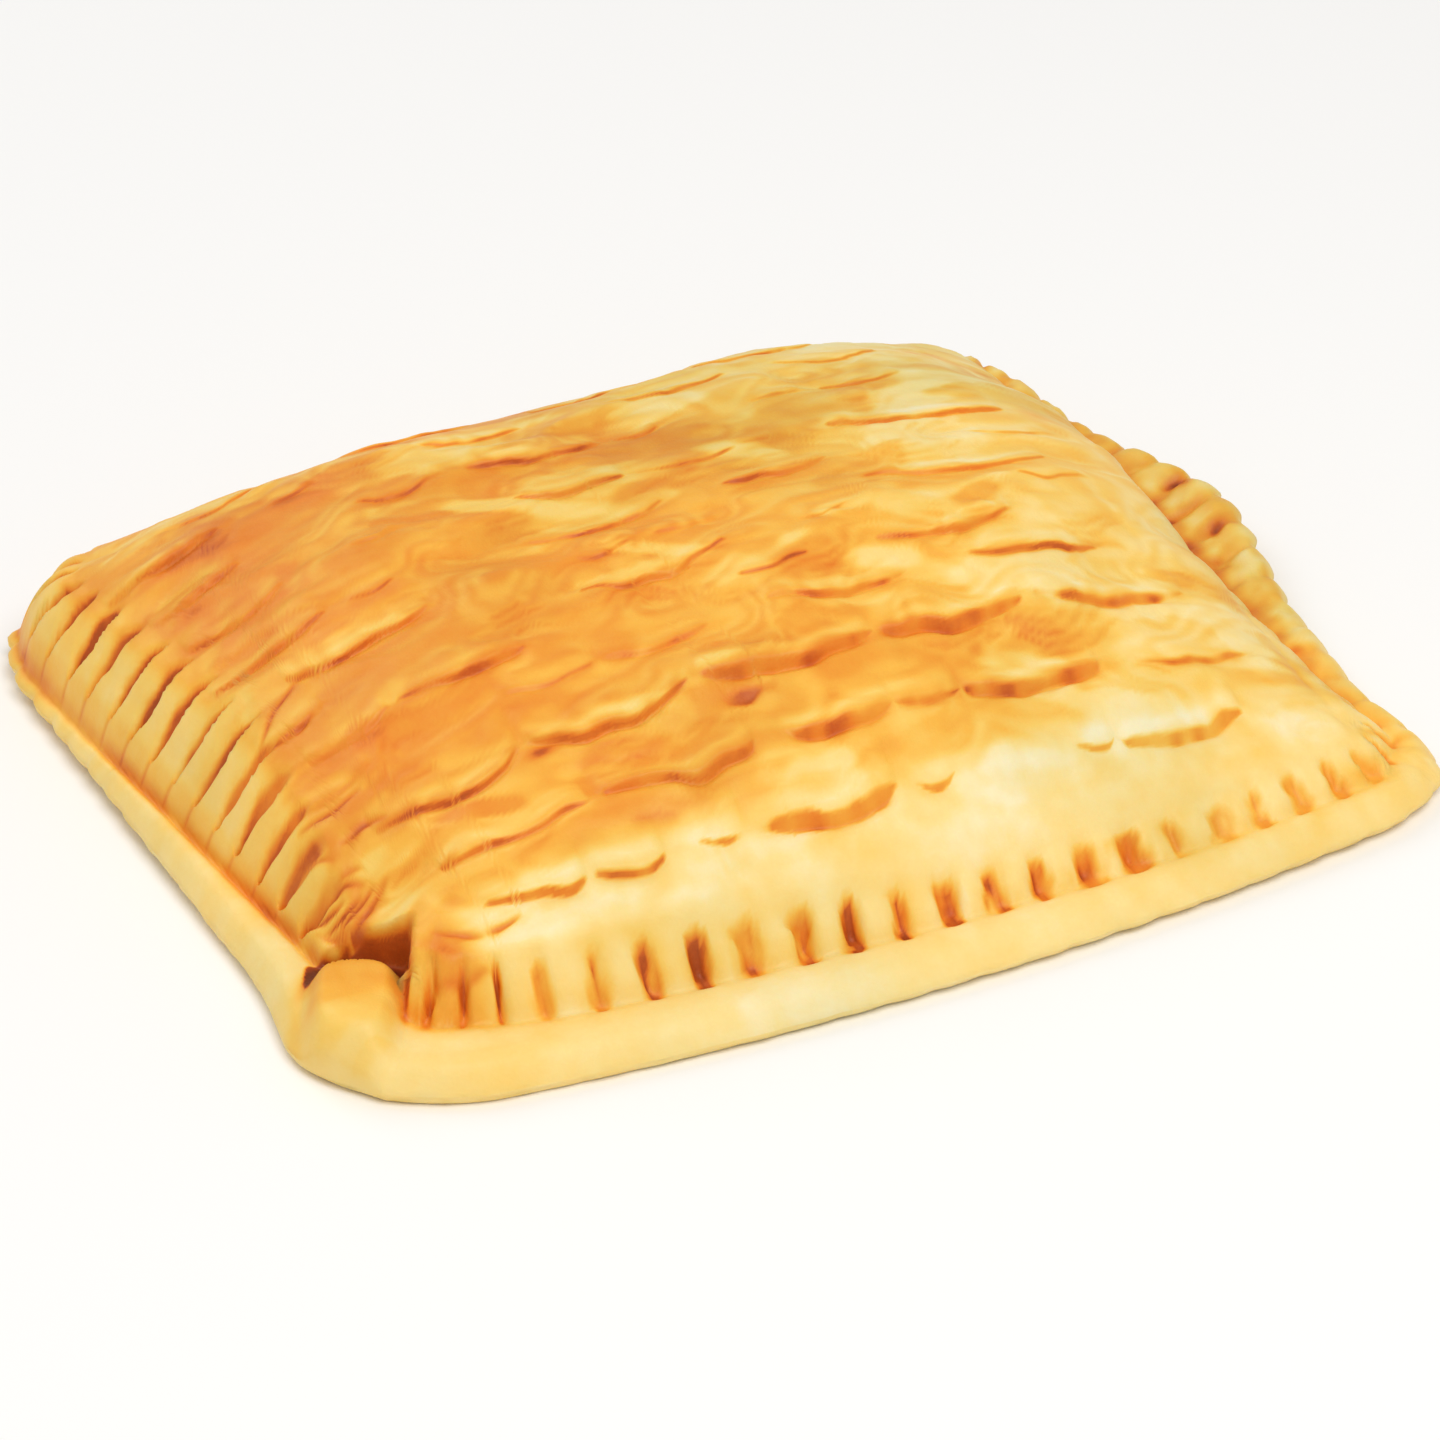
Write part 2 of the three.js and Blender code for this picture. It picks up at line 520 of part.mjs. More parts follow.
// The inset of the grid's border on each side
function gridInset(x, y) {
  const place = along(x, y);
  const half = LENGTH_RUN + DEPTH_RUN + 2 * CORNER_RUN;
  const frontInset = HALF_DEPTH + GRID.front;
  const rightInset = HALF_LENGTH - GRID.right;
  const backInset = HALF_DEPTH - GRID.back;
  const leftInset = HALF_LENGTH + GRID.left;
  if (place < LENGTH_RUN) return frontInset;
  if (place < LENGTH_RUN + CORNER_RUN) return Math.min(frontInset, rightInset);
  if (place < half - CORNER_RUN) return rightInset;
  if (place < half) return Math.min(rightInset, backInset);
  if (place < half + LENGTH_RUN) return backInset;
  if (place < half + LENGTH_RUN + CORNER_RUN) return Math.min(backInset, leftInset);
  if (place < 2 * half - CORNER_RUN) return leftInset;
  return Math.min(leftInset, frontInset);
}

function flangeInsetAt(share) {
  return (x, y) => share * flangeWidth(x, y);
}

function wallInsetAt(share) {
  return (x, y) => {
    const inset = flangeWidth(x, y) + share * wallRun(x, y);
    return Math.min(inset, gridInset(x, y) - RING_GAP * (2 - share));
  };
}

const none = () => 0;
const edgeHeight = (share) => (x, y) => undersideLift(x, y) + share * atStation(EDGE_THICKNESS, x, y);
const underRing = addRing(none, undersideLift, (x, y) => scallop(x, y) - SEAM.out);
const rings = [
  underRing,
  addRing(none, edgeHeight(SEAM.at), (x, y) => scallop(x, y) + SEAM.out),
  addRing(() => SHOULDER.inset, edgeHeight(SHOULDER.at), scallop),
  ...FLANGE_RINGS.map((share) => addRing(flangeInsetAt(share), topHeight, none)),
  ...WALL_RINGS.map((share) => addRing(wallInsetAt(share), topHeight, none)),
];
for (let k = 1; k < rings.length; k += 1) stitch(rings[k - 1], rings[k], TOTAL_RUN);

// The grid over the dome, with lines that follow the slash rows
const columns = [];
for (let c = 0; c <= GRID_COLUMNS; c += 1) {
  const x = THREE.MathUtils.lerp(GRID.left, GRID.right, c / GRID_COLUMNS);
  const column = [addStop(x, GRID.front, topHeight(x, GRID.front))];
  for (const row of SLASH_ROWS) {
    const line = slashRow(row, x);
    for (const offset of SLASH_LINE_OFFSETS) {
      const y = line.y + offset;
      const next = SLASH_ROWS[SLASH_ROWS.indexOf(row) + 1];
      const limit = next ? slashRow(next, x).y + SLASH_LINE_OFFSETS[0] : GRID.back;
      const isLast = offset === SLASH_LINE_OFFSETS[SLASH_LINE_OFFSETS.length - 1];
      if (!isLast || (next ? next.y : GRID.back) - row.y > SLASH_SPREAD) {
        const lowest = GRID.front + LINE_GAP * column.length;
        const place = Math.max(Math.min(y, limit - LINE_GAP), lowest);
        column.push(addStop(x, place, topHeight(x, place)));
      }
    }
  }
  column.push(addStop(x, GRID.back, topHeight(x, GRID.back)));
  columns.push(column);
}
const lines = columns[0].length;
for (let c = 1; c < columns.length; c += 1) {
  for (let r = 1; r < lines; r += 1) {
    const [a, b, d, e] = [columns[c - 1][r - 1], columns[c][r - 1], columns[c][r], columns[c - 1][r]];
    triangles.push([a.index, b.index, d.index], [a.index, d.index, e.index]);
  }
}
const byPlace = (first, second) => first.at - second.at;
const border = [
  ...columns.map((column) => column[0]),
  ...columns[columns.length - 1].slice(1, -1),
  ...columns.map((column) => column[lines - 1]).reverse(),
  ...columns[0].slice(1, -1).reverse(),
].sort(byPlace);
const lastRing = rings[rings.length - 1].map(({ index, leaning }) => ({ index, at: leaning }));
stitch(lastRing.sort(byPlace), border, TOTAL_RUN);

// The underside: the edge comes down to a flat base
const baseRing = [];
const baseLong = HALF_LENGTH - BASE_INSET;
const baseShort = HALF_DEPTH - BASE_INSET;
for (let c = 0; c < BASE_COLUMNS; c += 1) {
  const t = c / BASE_COLUMNS;
  baseRing.push(addStop(THREE.MathUtils.lerp(-baseLong, baseLong, t), -baseShort, 0));
  baseRing.push(addStop(baseLong, THREE.MathUtils.lerp(-baseShort, baseShort, t), 0));
  baseRing.push(addStop(THREE.MathUtils.lerp(baseLong, -baseLong, t), baseShort, 0));
  baseRing.push(addStop(-baseLong, THREE.MathUtils.lerp(baseShort, -baseShort, t), 0));
}
baseRing.sort(byPlace);
const topTriangles = triangles.length;
stitch(underRing, baseRing, TOTAL_RUN);
for (let k = topTriangles; k < triangles.length; k += 1) triangles[k].reverse();
const baseOutline = baseRing.map((stop) => {
  return new THREE.Vector2(positions[3 * stop.index], positions[3 * stop.index + 1]);
});
for (const face of THREE.ShapeUtils.triangulateShape(baseOutline, [])) {
  triangles.push(face.map((k) => baseRing[k].index).reverse());
}

const geometry = new THREE.BufferGeometry();
geometry.setAttribute('position', new THREE.Float32BufferAttribute(positions, 3));
geometry.setIndex(triangles.flat());
geometry.computeBoundingBox();
const middle = geometry.boundingBox.getCenter(new THREE.Vector3());
geometry.translate(-middle.x, -middle.y, -geometry.boundingBox.min.z);
geometry.computeVertexNormals();

const crust = new THREE.MeshStandardMaterial({ color: CRUST_COLOUR, roughness: 0.45, metalness: 0 });
const pie = new THREE.Mesh(geometry, crust);
pie.name = 'pie';

const model = new THREE.Group();
model.add(pie);
export default model;
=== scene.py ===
"""A baked puff pastry pie: the fine surface, the browning and the egg wash.

The crust is one mesh over the flat sheet of pastry, bent and puffed by the same sizes as the solid.
Sizes are millimetres in the sheet's own coordinates, and become metres when the mesh is made.
"""

import math

import bpy
import numpy as np
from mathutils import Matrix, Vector


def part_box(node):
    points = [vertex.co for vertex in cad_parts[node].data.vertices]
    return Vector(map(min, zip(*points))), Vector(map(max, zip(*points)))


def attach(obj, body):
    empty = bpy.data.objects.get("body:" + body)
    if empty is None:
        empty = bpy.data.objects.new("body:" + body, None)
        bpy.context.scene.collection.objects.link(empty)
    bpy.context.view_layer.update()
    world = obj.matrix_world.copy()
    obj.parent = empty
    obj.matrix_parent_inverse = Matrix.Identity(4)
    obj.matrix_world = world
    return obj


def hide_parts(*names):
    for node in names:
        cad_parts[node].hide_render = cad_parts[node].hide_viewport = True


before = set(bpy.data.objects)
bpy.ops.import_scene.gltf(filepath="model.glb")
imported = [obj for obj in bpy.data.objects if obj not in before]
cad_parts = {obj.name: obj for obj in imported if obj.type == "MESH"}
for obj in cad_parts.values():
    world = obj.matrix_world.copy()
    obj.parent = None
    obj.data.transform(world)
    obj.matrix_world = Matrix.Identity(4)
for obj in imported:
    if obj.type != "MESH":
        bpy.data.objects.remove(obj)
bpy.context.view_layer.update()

MM = 0.001

# The table of the noises, and the steep sine of the fixed draws
NOISE_TABLE, NOISE_OFFSET = (61, 67), 500.0
DRAW_TURNS, DRAW_SPREAD = (12.9898, 78.233, 37.719), 43758.5453

# The flat sheet before it is bowed and puffed up
HALF_LENGTH = 70.0
HALF_DEPTH = 54.0
CORNER_BLOCK = 20.0
ROUND_BLOCK = 15.0

# The four corners, in the order front left, front right, back right, back left
CORNER_ROUNDNESS = (0.76, 0.75, 0.6, 0.7)
CORNER_SHIFT_X = (1.0, 1.3, 5.0, -0.4)
CORNER_SHIFT_Y = (2.7, -3.7, 5.3, 3.6)

# How far the sides bow outwards, and the local bulges of the edge: place, reach, width and lift
BOW_FRONT = 6.3
BOW_BACK = 2.2
BULGE_AT, BULGE_OUT, BULGE_WIDTH, BULGE_LIFT = 5.5, 5.8, 17.0, 3.4
BULGE_POWER, BULGE_INSET = 6, 10
NECK_AT, NECK_OUT, NECK_WIDTH = -36.0, -2.1, 9.0
TAIL_AT, TAIL_OUT, TAIL_WIDTH = -41.0, 2.2, 9.0
END_POWER = 3

# Eight stations round the pie: front left corner, front, front right corner, right,
# back right corner, back, back left corner, left. Their values even out towards the middle
STATIONS, RIGHT_STATION, STATION_FADE = 8, 3, (0.15, 0.75)
FLANGE_WIDTH = (5.6, 4.9, 4.2, 8.0, 5.0, 4.0, 1.0, 3.0)
EDGE_THICKNESS = (4.0, 3.5, 3.5, 3.5, 3.5, 3.5, 3.5, 4.0)
EDGE_LIFT = (0.0, 0.3, 0.6, 0.5, 1.9, 0.6, 1.2, 0.8)
WALL_RUN = (5.0, 6.2, 7.0, 8.6, 7.3, 7.3, 6.0, 7.6)
WALL_RISE = (6.0, 6.0, 4.0, 9.3, 8.0, 8.2, 9.8, 9.0)
WALL_FULLNESS = 2.3
FOOT_SINK = (0.4, 0.2, 0.2, 0.0, 0.0, 0.0, 0.4, 0.7)
FOOT_WIDTH = 0.6
SCALLOP_DEPTH = (0.0, 0.2, 0.4, 1.1, 1.1, 0.9, 0.6, 0.15)
FLANGE_CRIMP = (0.0, 0.0, 0.2, 0.9, 0.9, 0.8, 0.4, 0.0)
FLANGE_ROUGH = (0.0, 0.0, 0.3, 1.0, 1.0, 1.0, 0.5, 0.2)
FLANGE_CROWN, CROWN_INSET = 0.8, 3
LIFT_REACH = 2
ROUGH_FOOT, ROUGH_FADE = 0.5, 1.5
PRESSED_SHARE = 0.8

# The dome: left, right, front and back
CROWN_RISE = 15.8
DOME_START = (5.0, 11.0, 7.5, 6.0)
DOME_FULLNESS = (3.2, 3.9, 3.0, 4.6)
LUMP_HEIGHT, LUMP_FINE, LUMP_MIDDLE, LUMP_BROAD, LUMP_BROAD_SHARE = 0.45, 8.5, 14.0, 23.0, 0.6

# The crimper's marks round the wall
CRIMPS_LONG, CRIMPS_CORNER, CRIMPS_SHORT = 17, 6, 13
CRIMP_START = (0.1, -0.4, -0.3, -0.5, -0.5, -0.5, 1.4, 1.8)
CRIMP_REACH = (0.8, 0.58, 0.6, 0.6, 0.75, 0.75, 1.25, 1.3)
CRIMP_LEAD, CRIMP_RISE, CRIMP_FADE = 0.5, 0.8, 0.28
CRIMP_HALF_WIDTH = 1.3
CRIMP_SHIFT, CRIMP_WIDTHS, CRIMP_DEPTHS = 0.5, (0.65, 1.15), (0.7, 1.15)
SHIFT_SEED, WIDTH_SEED, DEPTH_SEED, TONE_SEED = 1, 2, 3, 5
CRIMP_TAPER = (0.2, 0.0, 0.0, 0.0, 0.0, 0.2, 0.8, 1.0)
CRIMP_POINT, CRIMP_POINT_POWER = 0.3, 0.6
CRIMP_SLIM = 0.82
CRIMP_LEAN = (0.1, 0.0, 0.0, 0.0, 0.0, 0.0, 0.2, 0.35)
CRIMP_PUSH, DRAWN_PUSH = 1.5, 1.1
CRIMP_SINK = (0.5, 0.45, 0.4, 0.6, 0.6, 0.6, 0.9, 1.0)
THREAD_WIDTH, THREAD_START, THREAD_REACH, THREAD_FADE, THREAD_DEPTH = 0.32, 0.6, 2.5, 1.5, 0.2

# The slashes, row by row from the front: the row's place and tilt, then the left end,
# the right end and the depth of each slash in it
SLASH_ROWS = (
    (-40.0, 0.0, ((-50, -38, 0.8), (-37, -29, 0.8), (-25, -19.5, 0.5), (-18.5, -1, 1.0), (1, 6, 0.4),
                  (22, 27, 0.4), (28, 46, 0.8))),
    (-32.6, 0.01, ((-52, -34, 0.8), (-32.5, -14, 1.2), (-10, 3, 1.1), (3.5, 12, 0.6), (12.5, 31, 1.1),
                   (35, 54, 0.5))),
    (-24.4, 0.01, ((-55, -37.5, 0.9), (-36.5, -17.5, 1.3), (-15.5, 6, 1.2), (7, 26, 1.1), (27.5, 49, 0.8))),
    (-17.4, 0.01, ((-60, -52, 0.5), (-36, -24.5, 0.5), (-24, -10.5, 0.6), (-3, 15, 0.8), (23, 41, 0.7))),
    (-12.2, 0.02, ((-57, -47, 0.7), (-46, -30.5, 0.9), (-3.5, 5.5, 0.6), (14.5, 33, 0.9))),
    (-6.2, 0.02, ((-60, -52.5, 0.7), (-20.5, -1.5, 0.7), (8, 15, 0.3), (37, 47, 0.4))),
    (-0.6, 0.0, ((-54, -36.5, 1.0), (-18, -10, 0.5), (-8, 1, 0.3), (19.5, 43.5, 0.8))),
    (5.4, 0.0, ((-60, -46, 0.9), (-43, -37.5, 0.4), (-21.5, -3.5, 0.7), (4.5, 18, 0.7), (36, 48, 0.4))),
    (12.4, -0.04, ((-59, -47, 0.8), (-39, -33, 0.4), (-18.5, -4.5, 0.9), (-3, 10, 0.4), (21.5, 44.5, 1.0))),
    (21.8, -0.01, ((-60, -49, 0.8), (-34, -23.5, 0.6), (-20.5, -2.5, 0.9), (-1, 5, 0.5), (17, 24, 0.5),
                   (26.5, 37.5, 0.6))),
    (30.4, -0.01, ((-62, -48, 0.9), (-41, -35, 0.5), (-22, -9, 0.6), (3, 19, 0.6), (25, 40, 0.5))),
    (37.4, -0.01, ((-53, -40, 0.5), (-29, -12, 0.6), (-4, 11, 0.5), (18, 35, 0.6))),
)
SLASH_SAG, SLASH_SAG_SEED = (0.05, 0.12), 2
SLASH_SINK = 0.75
SLASH_ENDS = 0.32
SLASH_LIP, SLASH_LIP_FROM, SLASH_LIP_RISE, SLASH_LIP_REACH = 0.85, -0.2, 0.8, 2.6
SLASH_WAVER, SLASH_WAVER_DEPTH = 0.5, 0.3
SLASH_LEAN, SLASH_LEAN_AT, SLASH_LEAN_WIDTH = 0.2, 0.6, 0.5
SLASH_BEFORE, SLASH_BEHIND = 6, 8

# Most slashes are thin and brown, and those of the front right are bold and orange: where they
# are bold, then pairs of thin and bold for the groove and for its streak of colour
BOLD_X, BOLD_FRONT = (-22, -8), (15, 23)
GROOVE_AT, GROOVE_WIDTH, GROOVE_SHARE = -0.3, (0.3, 0.5), (0.55, 1.0)
STREAK_AT, STREAK_WIDTH, STREAK_GROWTH = 0.02, (0.2, 0.26), (0.06, 0.26)
STREAK_NARROW, STREAK_ENDS, STREAK_FADE, STREAK_LEAST = 0.3, (1.4, 0.1), 0.4, 0.5
# The painted highlight on the lip behind each slash, and the painted shade about the slash, centred just in
# front of it
LIP_AT, LIP_WIDTH, SHADE_AT, SHADE_REACH = 1.5, 0.7, -0.6, 1.6

# The front left corner's pocket, thumb and recess
POCKET_X, POCKET_Y, POCKET_REACH = -57.0, -40.0, 9.0
POCKET_INSET, POCKET_RUN = 2.6, -2.4
POCKET_SHIFT_X, POCKET_SHIFT_Y = 2.2, 1.2
POCKET_CALM, POCKET_FADE = 0.5, (2, 8)
THUMB_X, THUMB_Y, THUMB_TURN = -63.3, -36.3, 29.0
THUMB_WIDTH, THUMB_FRONT, THUMB_BACK, THUMB_HEIGHT = 6.0, 15.0, 5.8, 3.3
THUMB_SQUARENESS, THUMB_SOFTNESS = 2.9, 0.45
RECESS_BACK, RECESS_FRONT, RECESS_SIDE, RECESS_ARCH = 7.8, -5.0, 6.3, 0.03
RECESS_EDGE, RECESS_FLOOR, RECESS_LEAN = 1.2, 4.8, 0.5
RECESS_SHORTER, RECESS_FADE = 6, 3
OVERHANG_BEHIND, OVERHANG_DEPTH, OVERHANG_ENDS = 0.4, 0.9, 2
DIP_ACROSS, DIP_BEHIND, DIP_WIDTH, DIP_REACH, DIP_DEPTH, DIP_FOOT = 1.0, 8.0, 7.0, 6.0, 4.2, 2

# The fine mesh: the spacing of its lines near the edge, over the dome, and by slashes and creases
COLUMNS = 288
LINES = 290
DENSITY_SAMPLES = 1600
EDGE_SPACING, EDGE_BAND, EDGE_FADE = 0.36, 11.5, 3
END_SPACING, END_BAND = (0.25, 0.42), (13.5, 9.5)
DOME_SPACING = 0.62
SLASH_SPACING, SLASH_BAND, SLASH_MIDDLE, SLASH_REST = 0.23, 0.9, 0.1, 7.0
SLASH_COLUMNS = (-66.0, -52.0)
CREASE_SPACING, CREASE_BAND, CREASE_REST = 0.2, 0.7, 8

# Where its lines bunch up at the slot, at the marks of the ends and at the front left corner,
# and where they lean with the left marks
SLOT_SPACING, SLOT_EDGE_SPACING, SLOT_EDGE_BAND = 0.26, 0.12, 1.2
SLOT_COLUMNS, SLOT_FADE, SLOT_REST = (-64.0, -50.0), 2, (-46.0, -56.0)
SLOT_EDGE_RANGE, SLOT_EDGE_GUESS, SLOT_EDGE_STEP, SLOT_EDGE_ROUNDS = (-46.0, -27.0), -36.0, 0.9, 8
MARK_BUNCHING, MARK_BAND, MARK_FADE = 2.0, 15.0, 4
LEAN_REACH, LEAN_COLUMNS = 11.0, (-32.0, -55.0)
CORNER_SPACING, CORNER_MIDDLE, CORNER_REACH = 0.26, 5.0, 6.0
CORNER_BLEND = 5.0

# The rounded rim, the side below its seam, and the flat base
RIM_RADIUS, RIM_POWER, RIM_OUT_POWER = 2.2, 2.5, 1.5
SEAM_SHARE = 0.42
SEAM_OUT, UNDER_IN = 0.45, 1.0
SIDE_LINES = 7
LAYER_DEPTH = 0.13
BASE_INSET = 10.0
BASE_LINES = 3
BASE_RINGS = (0.66, 0.33)

# Leaves of pastry that lie over each other, as steps in the crust. They fade out where their
# slope, in levels a millimetre, is steep
# Each leaf has a painted shadow line along its step, and painted light across it besides its own tone
LEAF_SIZE, LEAF_STRETCH = 6.0, 0.42
LEAF_LEVELS, LEAF_HEIGHT, LEAF_RISER, LEAF_MIDDLE = 2.3, 0.3, 0.55, 0.3
LEAF_PROBE, LEAF_GENTLE = 0.4, (1.0, 0.5)
# Painted shadow line along the step at each leaf's edge
LEAF_EDGE_SHADOW, LEAF_LINE_WIDTH, LEAF_LINE_AT = 0.2, 0.42, 0.15
LEAF_LINE_GENTLE, LEAF_LINE_FLATTEST, LEAF_FACING, LEAF_GAPS = (1.5, 1.0), 0.25, 2.7, 0.35
LEAF_TONE_AND_LIGHT, LEAF_TONE, LEAF_TONE_SEED = 0.13, 1.4, 76
# Painted light and shade in a wave across each leaf
LEAF_LIGHT_WAVE, LEAF_WAVE_AT = 0.5, 0.4

# Fine creases: both ends, how far the middle bends to the back, and the strength
CREASES = (
    (-61.5, -19.0, -53.8, -19.8, -0.4, 1.0),
    (-64.5, -20.6, -60.0, -22.1, 0.3, 1.0),
    (-63.5, -22.4, -59.8, -25.0, 0.2, 0.8),
    (-58.8, -23.7, -53.2, -24.1, 0.2, 1.0),
    (-63.8, -26.4, -58.0, -28.3, 0.4, 1.0),
    (-64.4, -27.8, -61.8, -31.8, 0.3, 0.9),
    (-63.5, -29.0, -60.0, -33.4, 0.3, 0.9),
    (-60.8, -26.6, -57.4, -27.0, 0.2, 0.7),
    (-59.9, -6.8, -52.6, -1.4, 0.3, 1.0),
    (-56.5, -9.0, -53.5, -7.4, 0.2, 0.7),
    (-50.0, 43.6, -36.5, 41.0, 0.3, 0.7),
    (-14.2, -27.7, -9.5, -27.7, -0.3, 1.0),
    (-60.0, -44.9, -52.0, -45.4, 0.1, 1.2),
    (-64.4, -26.8, -60.4, -28.4, -0.2, 1.2),
    (-63.4, -28.8, -58.8, -29.2, -0.4, 1.2),
    (-62.6, -30.0, -57.3, -29.0, -0.6, 1.2),
    (-61.6, -31.8, -56.2, -29.6, -0.4, 1.2),
    (-57.4, -40.8, -51.2, -42.4, -0.3, 1.0),
    (-51.8, -42.3, -46.6, -41.4, -0.3, 1.2),
)
CREASE_WIDTH, CREASE_DEPTH, CREASE_ENDS = 0.36, 0.36, 0.6
CREASE_FOOT, CREASE_FADE = 0.5, 1.5

# Fainter wrinkles are drawn over the rest of the crust within these limits
WRINKLE_COUNT, WRINKLE_SEED, WRINKLE_WIDTH = 90, 5, 0.48
WRINKLE_X, WRINKLE_Y = (-61, 50), (-36, 46)
WRINKLE_LENGTH, WRINKLE_TURN = (2.5, 9.0), (-0.45, 0.3)
WRINKLE_BEND, WRINKLE_STRENGTH = (-0.9, 0.4), (0.2, 0.6)

# Small forms that only the fine surface has: the ledges beside the thumb, and loose flakes
LEDGE_HEIGHT, LEDGE_PITCH = 0.22, 1.7
LEDGE_LEFT, LEDGE_RIGHT, LEDGE_TOP, LEDGE_BACK = (-60.5, -59.0), (-52.5, -54.5), (4, 2), -36
DOME_INSET = (7, 13)
FLAKE_HEIGHT, FLAKE_GAIN, FLAKE_START, FLAKE_INSET = 0.14, 2, 0.4, (1, 4)
SKIN_INSET = 2

# How brown each part is at the eight stations, with the painted highlight on the ribs and the painted shade
# in the crease at the wall's foot
FLANGE_BROWN = (0.22, 0.17, 0.26, 0.4, 0.44, 0.42, 0.3, 0.22)
WALL_BROWN = (0.44, 0.17, 0.24, 0.38, 0.42, 0.46, 0.44, 0.42)
CRIMP_BROWN = (0.9, 0.87, 0.62, 0.62, 0.68, 0.76, 0.98, 0.92)
# Painted highlight on the ribs between the marks
RIB_HIGHLIGHT = (0.05, 0.0, 0.0, 0.05, 0.05, 0.08, 0.08, 0.09)
# Painted shade in the crease at the wall's foot, deepest where the dome meets the right and back flange
FOOT_PAINTED_SHADE = (0.08, 0.0, 0.1, 0.5, 0.5, 0.25, 0.1, 0.06)

# The dome, with how much browner or paler it is towards each side, each with where it starts
# and ends, and how much of the wide, fine and flaky tones shows
DOME_BROWN, DOME_MOST, DOME_LEAST, DOME_LIMIT = 0.65, 0.62, 0.16, 0.12
PALE_RIGHT, PALE_RIGHT_X = 0.225, (-8, 47)
PALE_BACK, PALE_BACK_Y, PALE_BACK_X = 0.14, (10, 30), (-44, -18)
BROWN_LEFT, BROWN_LEFT_X = 0.03, (10, 30)
PALE_FRONT, PALE_FRONT_Y = 0.065, (14, 24)
DOME_TONES = (0.1, 0.06, 0.08)
PATCH_X, BROWN_PATCH, BROWN_START, PALE_PATCH, PALE_START = (-30, 20), (0.16, 0.13), 1.1, (0.15, 0.2), 0.9

# The pale shoulder along the front, less browned and partly painted light where it faces the light, the
# flange and the wall
SHOULDER_BROWN_AND_LIGHT, SHOULDER_TONES, SHOULDER_LEAVES = 0.165, (0.09, 0.06, 0.09), 0.5
SHOULDER_FRONT, SHOULDER_X, SHOULDER_WANDER = (37.0, 40.6), (-57, -51), (1.6, 0.9)
FLANGE_FOOT, FLANGE_TONES = (0.4, -0.8), (0.07, 0.06, 0.2)
WALL_FOOT, WALL_TOP, WALL_TONE, WALL_SHOULDER = 0.8, (0.95, 0.65), 0.07, 0.5

# The slashes, creases and leaves: thin and bold slashes, and their left and right on the shoulder
SLASH_BROWN, SHOULDER_SLASH, SHOULDER_SLASH_X = (0.84, 0.78), (0.82, 0.6), (-25, 15)
SLASH_FADE, SLASH_FADE_X, SLASH_FADE_Y = 0.08, (5, 25), (-16, -10)
# Painted shade about each slash and a painted highlight on the lip behind it
SLASH_GAIN, PAINTED_SLASH_SHADE, LIP_HIGHLIGHT = 1.2, 0.08, 0.17
CREASE_DARK, CREASE_SHOULDER, WRINKLE_DARK = 0.94, 0.15, 0.2
LINE_CALM, LINE_BROWN, LINE_SHOULDER = 0.6, (0.58, 0.7), 0.5
WRINKLE_CALM, WRINKLE_BROWN, STREAK_SHOULDER = 0.4, (0.6, 0.72), 0.5

# The crimper's marks: how far they fill with brown, drawn out and frayed, and how they fade
# along the front to the right, with painted highlights on pale ridges inside those of the front left
CRIMP_TONE, CRIMP_MOST, STAIN_WIDTH, STAIN_BROWN, STAIN_SHARE = 0.1, 0.98, 1.9, 0.17, 0.6
FILL_GAIN, FILL_START, FILL_GRAIN = (2.1, 1.9), (0.6, 0.3), (0.2, 0.45)
FAINT_BROWN, FAINT_TONE, FAINT_SHARE, FAINT_X, FAINT_STAIN = 0.64, 0.08, 0.8, (18, 28), 0.5
FRONT_MARKS = -30
# Painted highlights on the small ridges inside the front left marks
RIDGE_HIGHLIGHT_BROWN, RIDGE_SHARE, RIDGE_START, RIDGE_X, RIDGE_GAIN = 0.16, 0.5, 0.7, (20, 8), 3
PRESSED_BROWN, THREAD_BROWN = 0.3, 0.24
FOOT_AT, FOOT_REACH = -0.2, 1.6
CREASE_BROWN, CREASE_SHARE = 0.4, 0.55

# The slot, browned and partly painted shade, the thumb with painted shade along its edges, the loose flakes
# and the base
# The slot's dark brown: partly browning, partly painted shade
RECESS_BROWN_AND_SHADE, RECESS_GAIN = 0.98, 2.4
THUMB_BROWN, THUMB_BEHIND, THUMB_GAIN, THUMB_TONE = (0.34, 0.62), (-11, 4), 1.6, 0.05
# Painted shadow under the crust's lip along the thumb's top edge
THUMB_RIM_SHADOW, THUMB_RIM_AT, THUMB_RIM_WIDTH, THUMB_RIM_BEHIND = 0.3, 0.96, 0.12, (-1, 3)
# Painted shade down the thumb's left side
THUMB_SIDE_SHADE, THUMB_SIDE_AT, THUMB_SIDE_WIDTH, THUMB_SIDE_BEHIND = 0.16, 1.02, 0.2, (-12, -8)
THUMB_SIDE_ACROSS = 3
FLAKE_PALE = 0.05
BASE_BROWN = 0.62
BROWN_LIMIT = 1.15

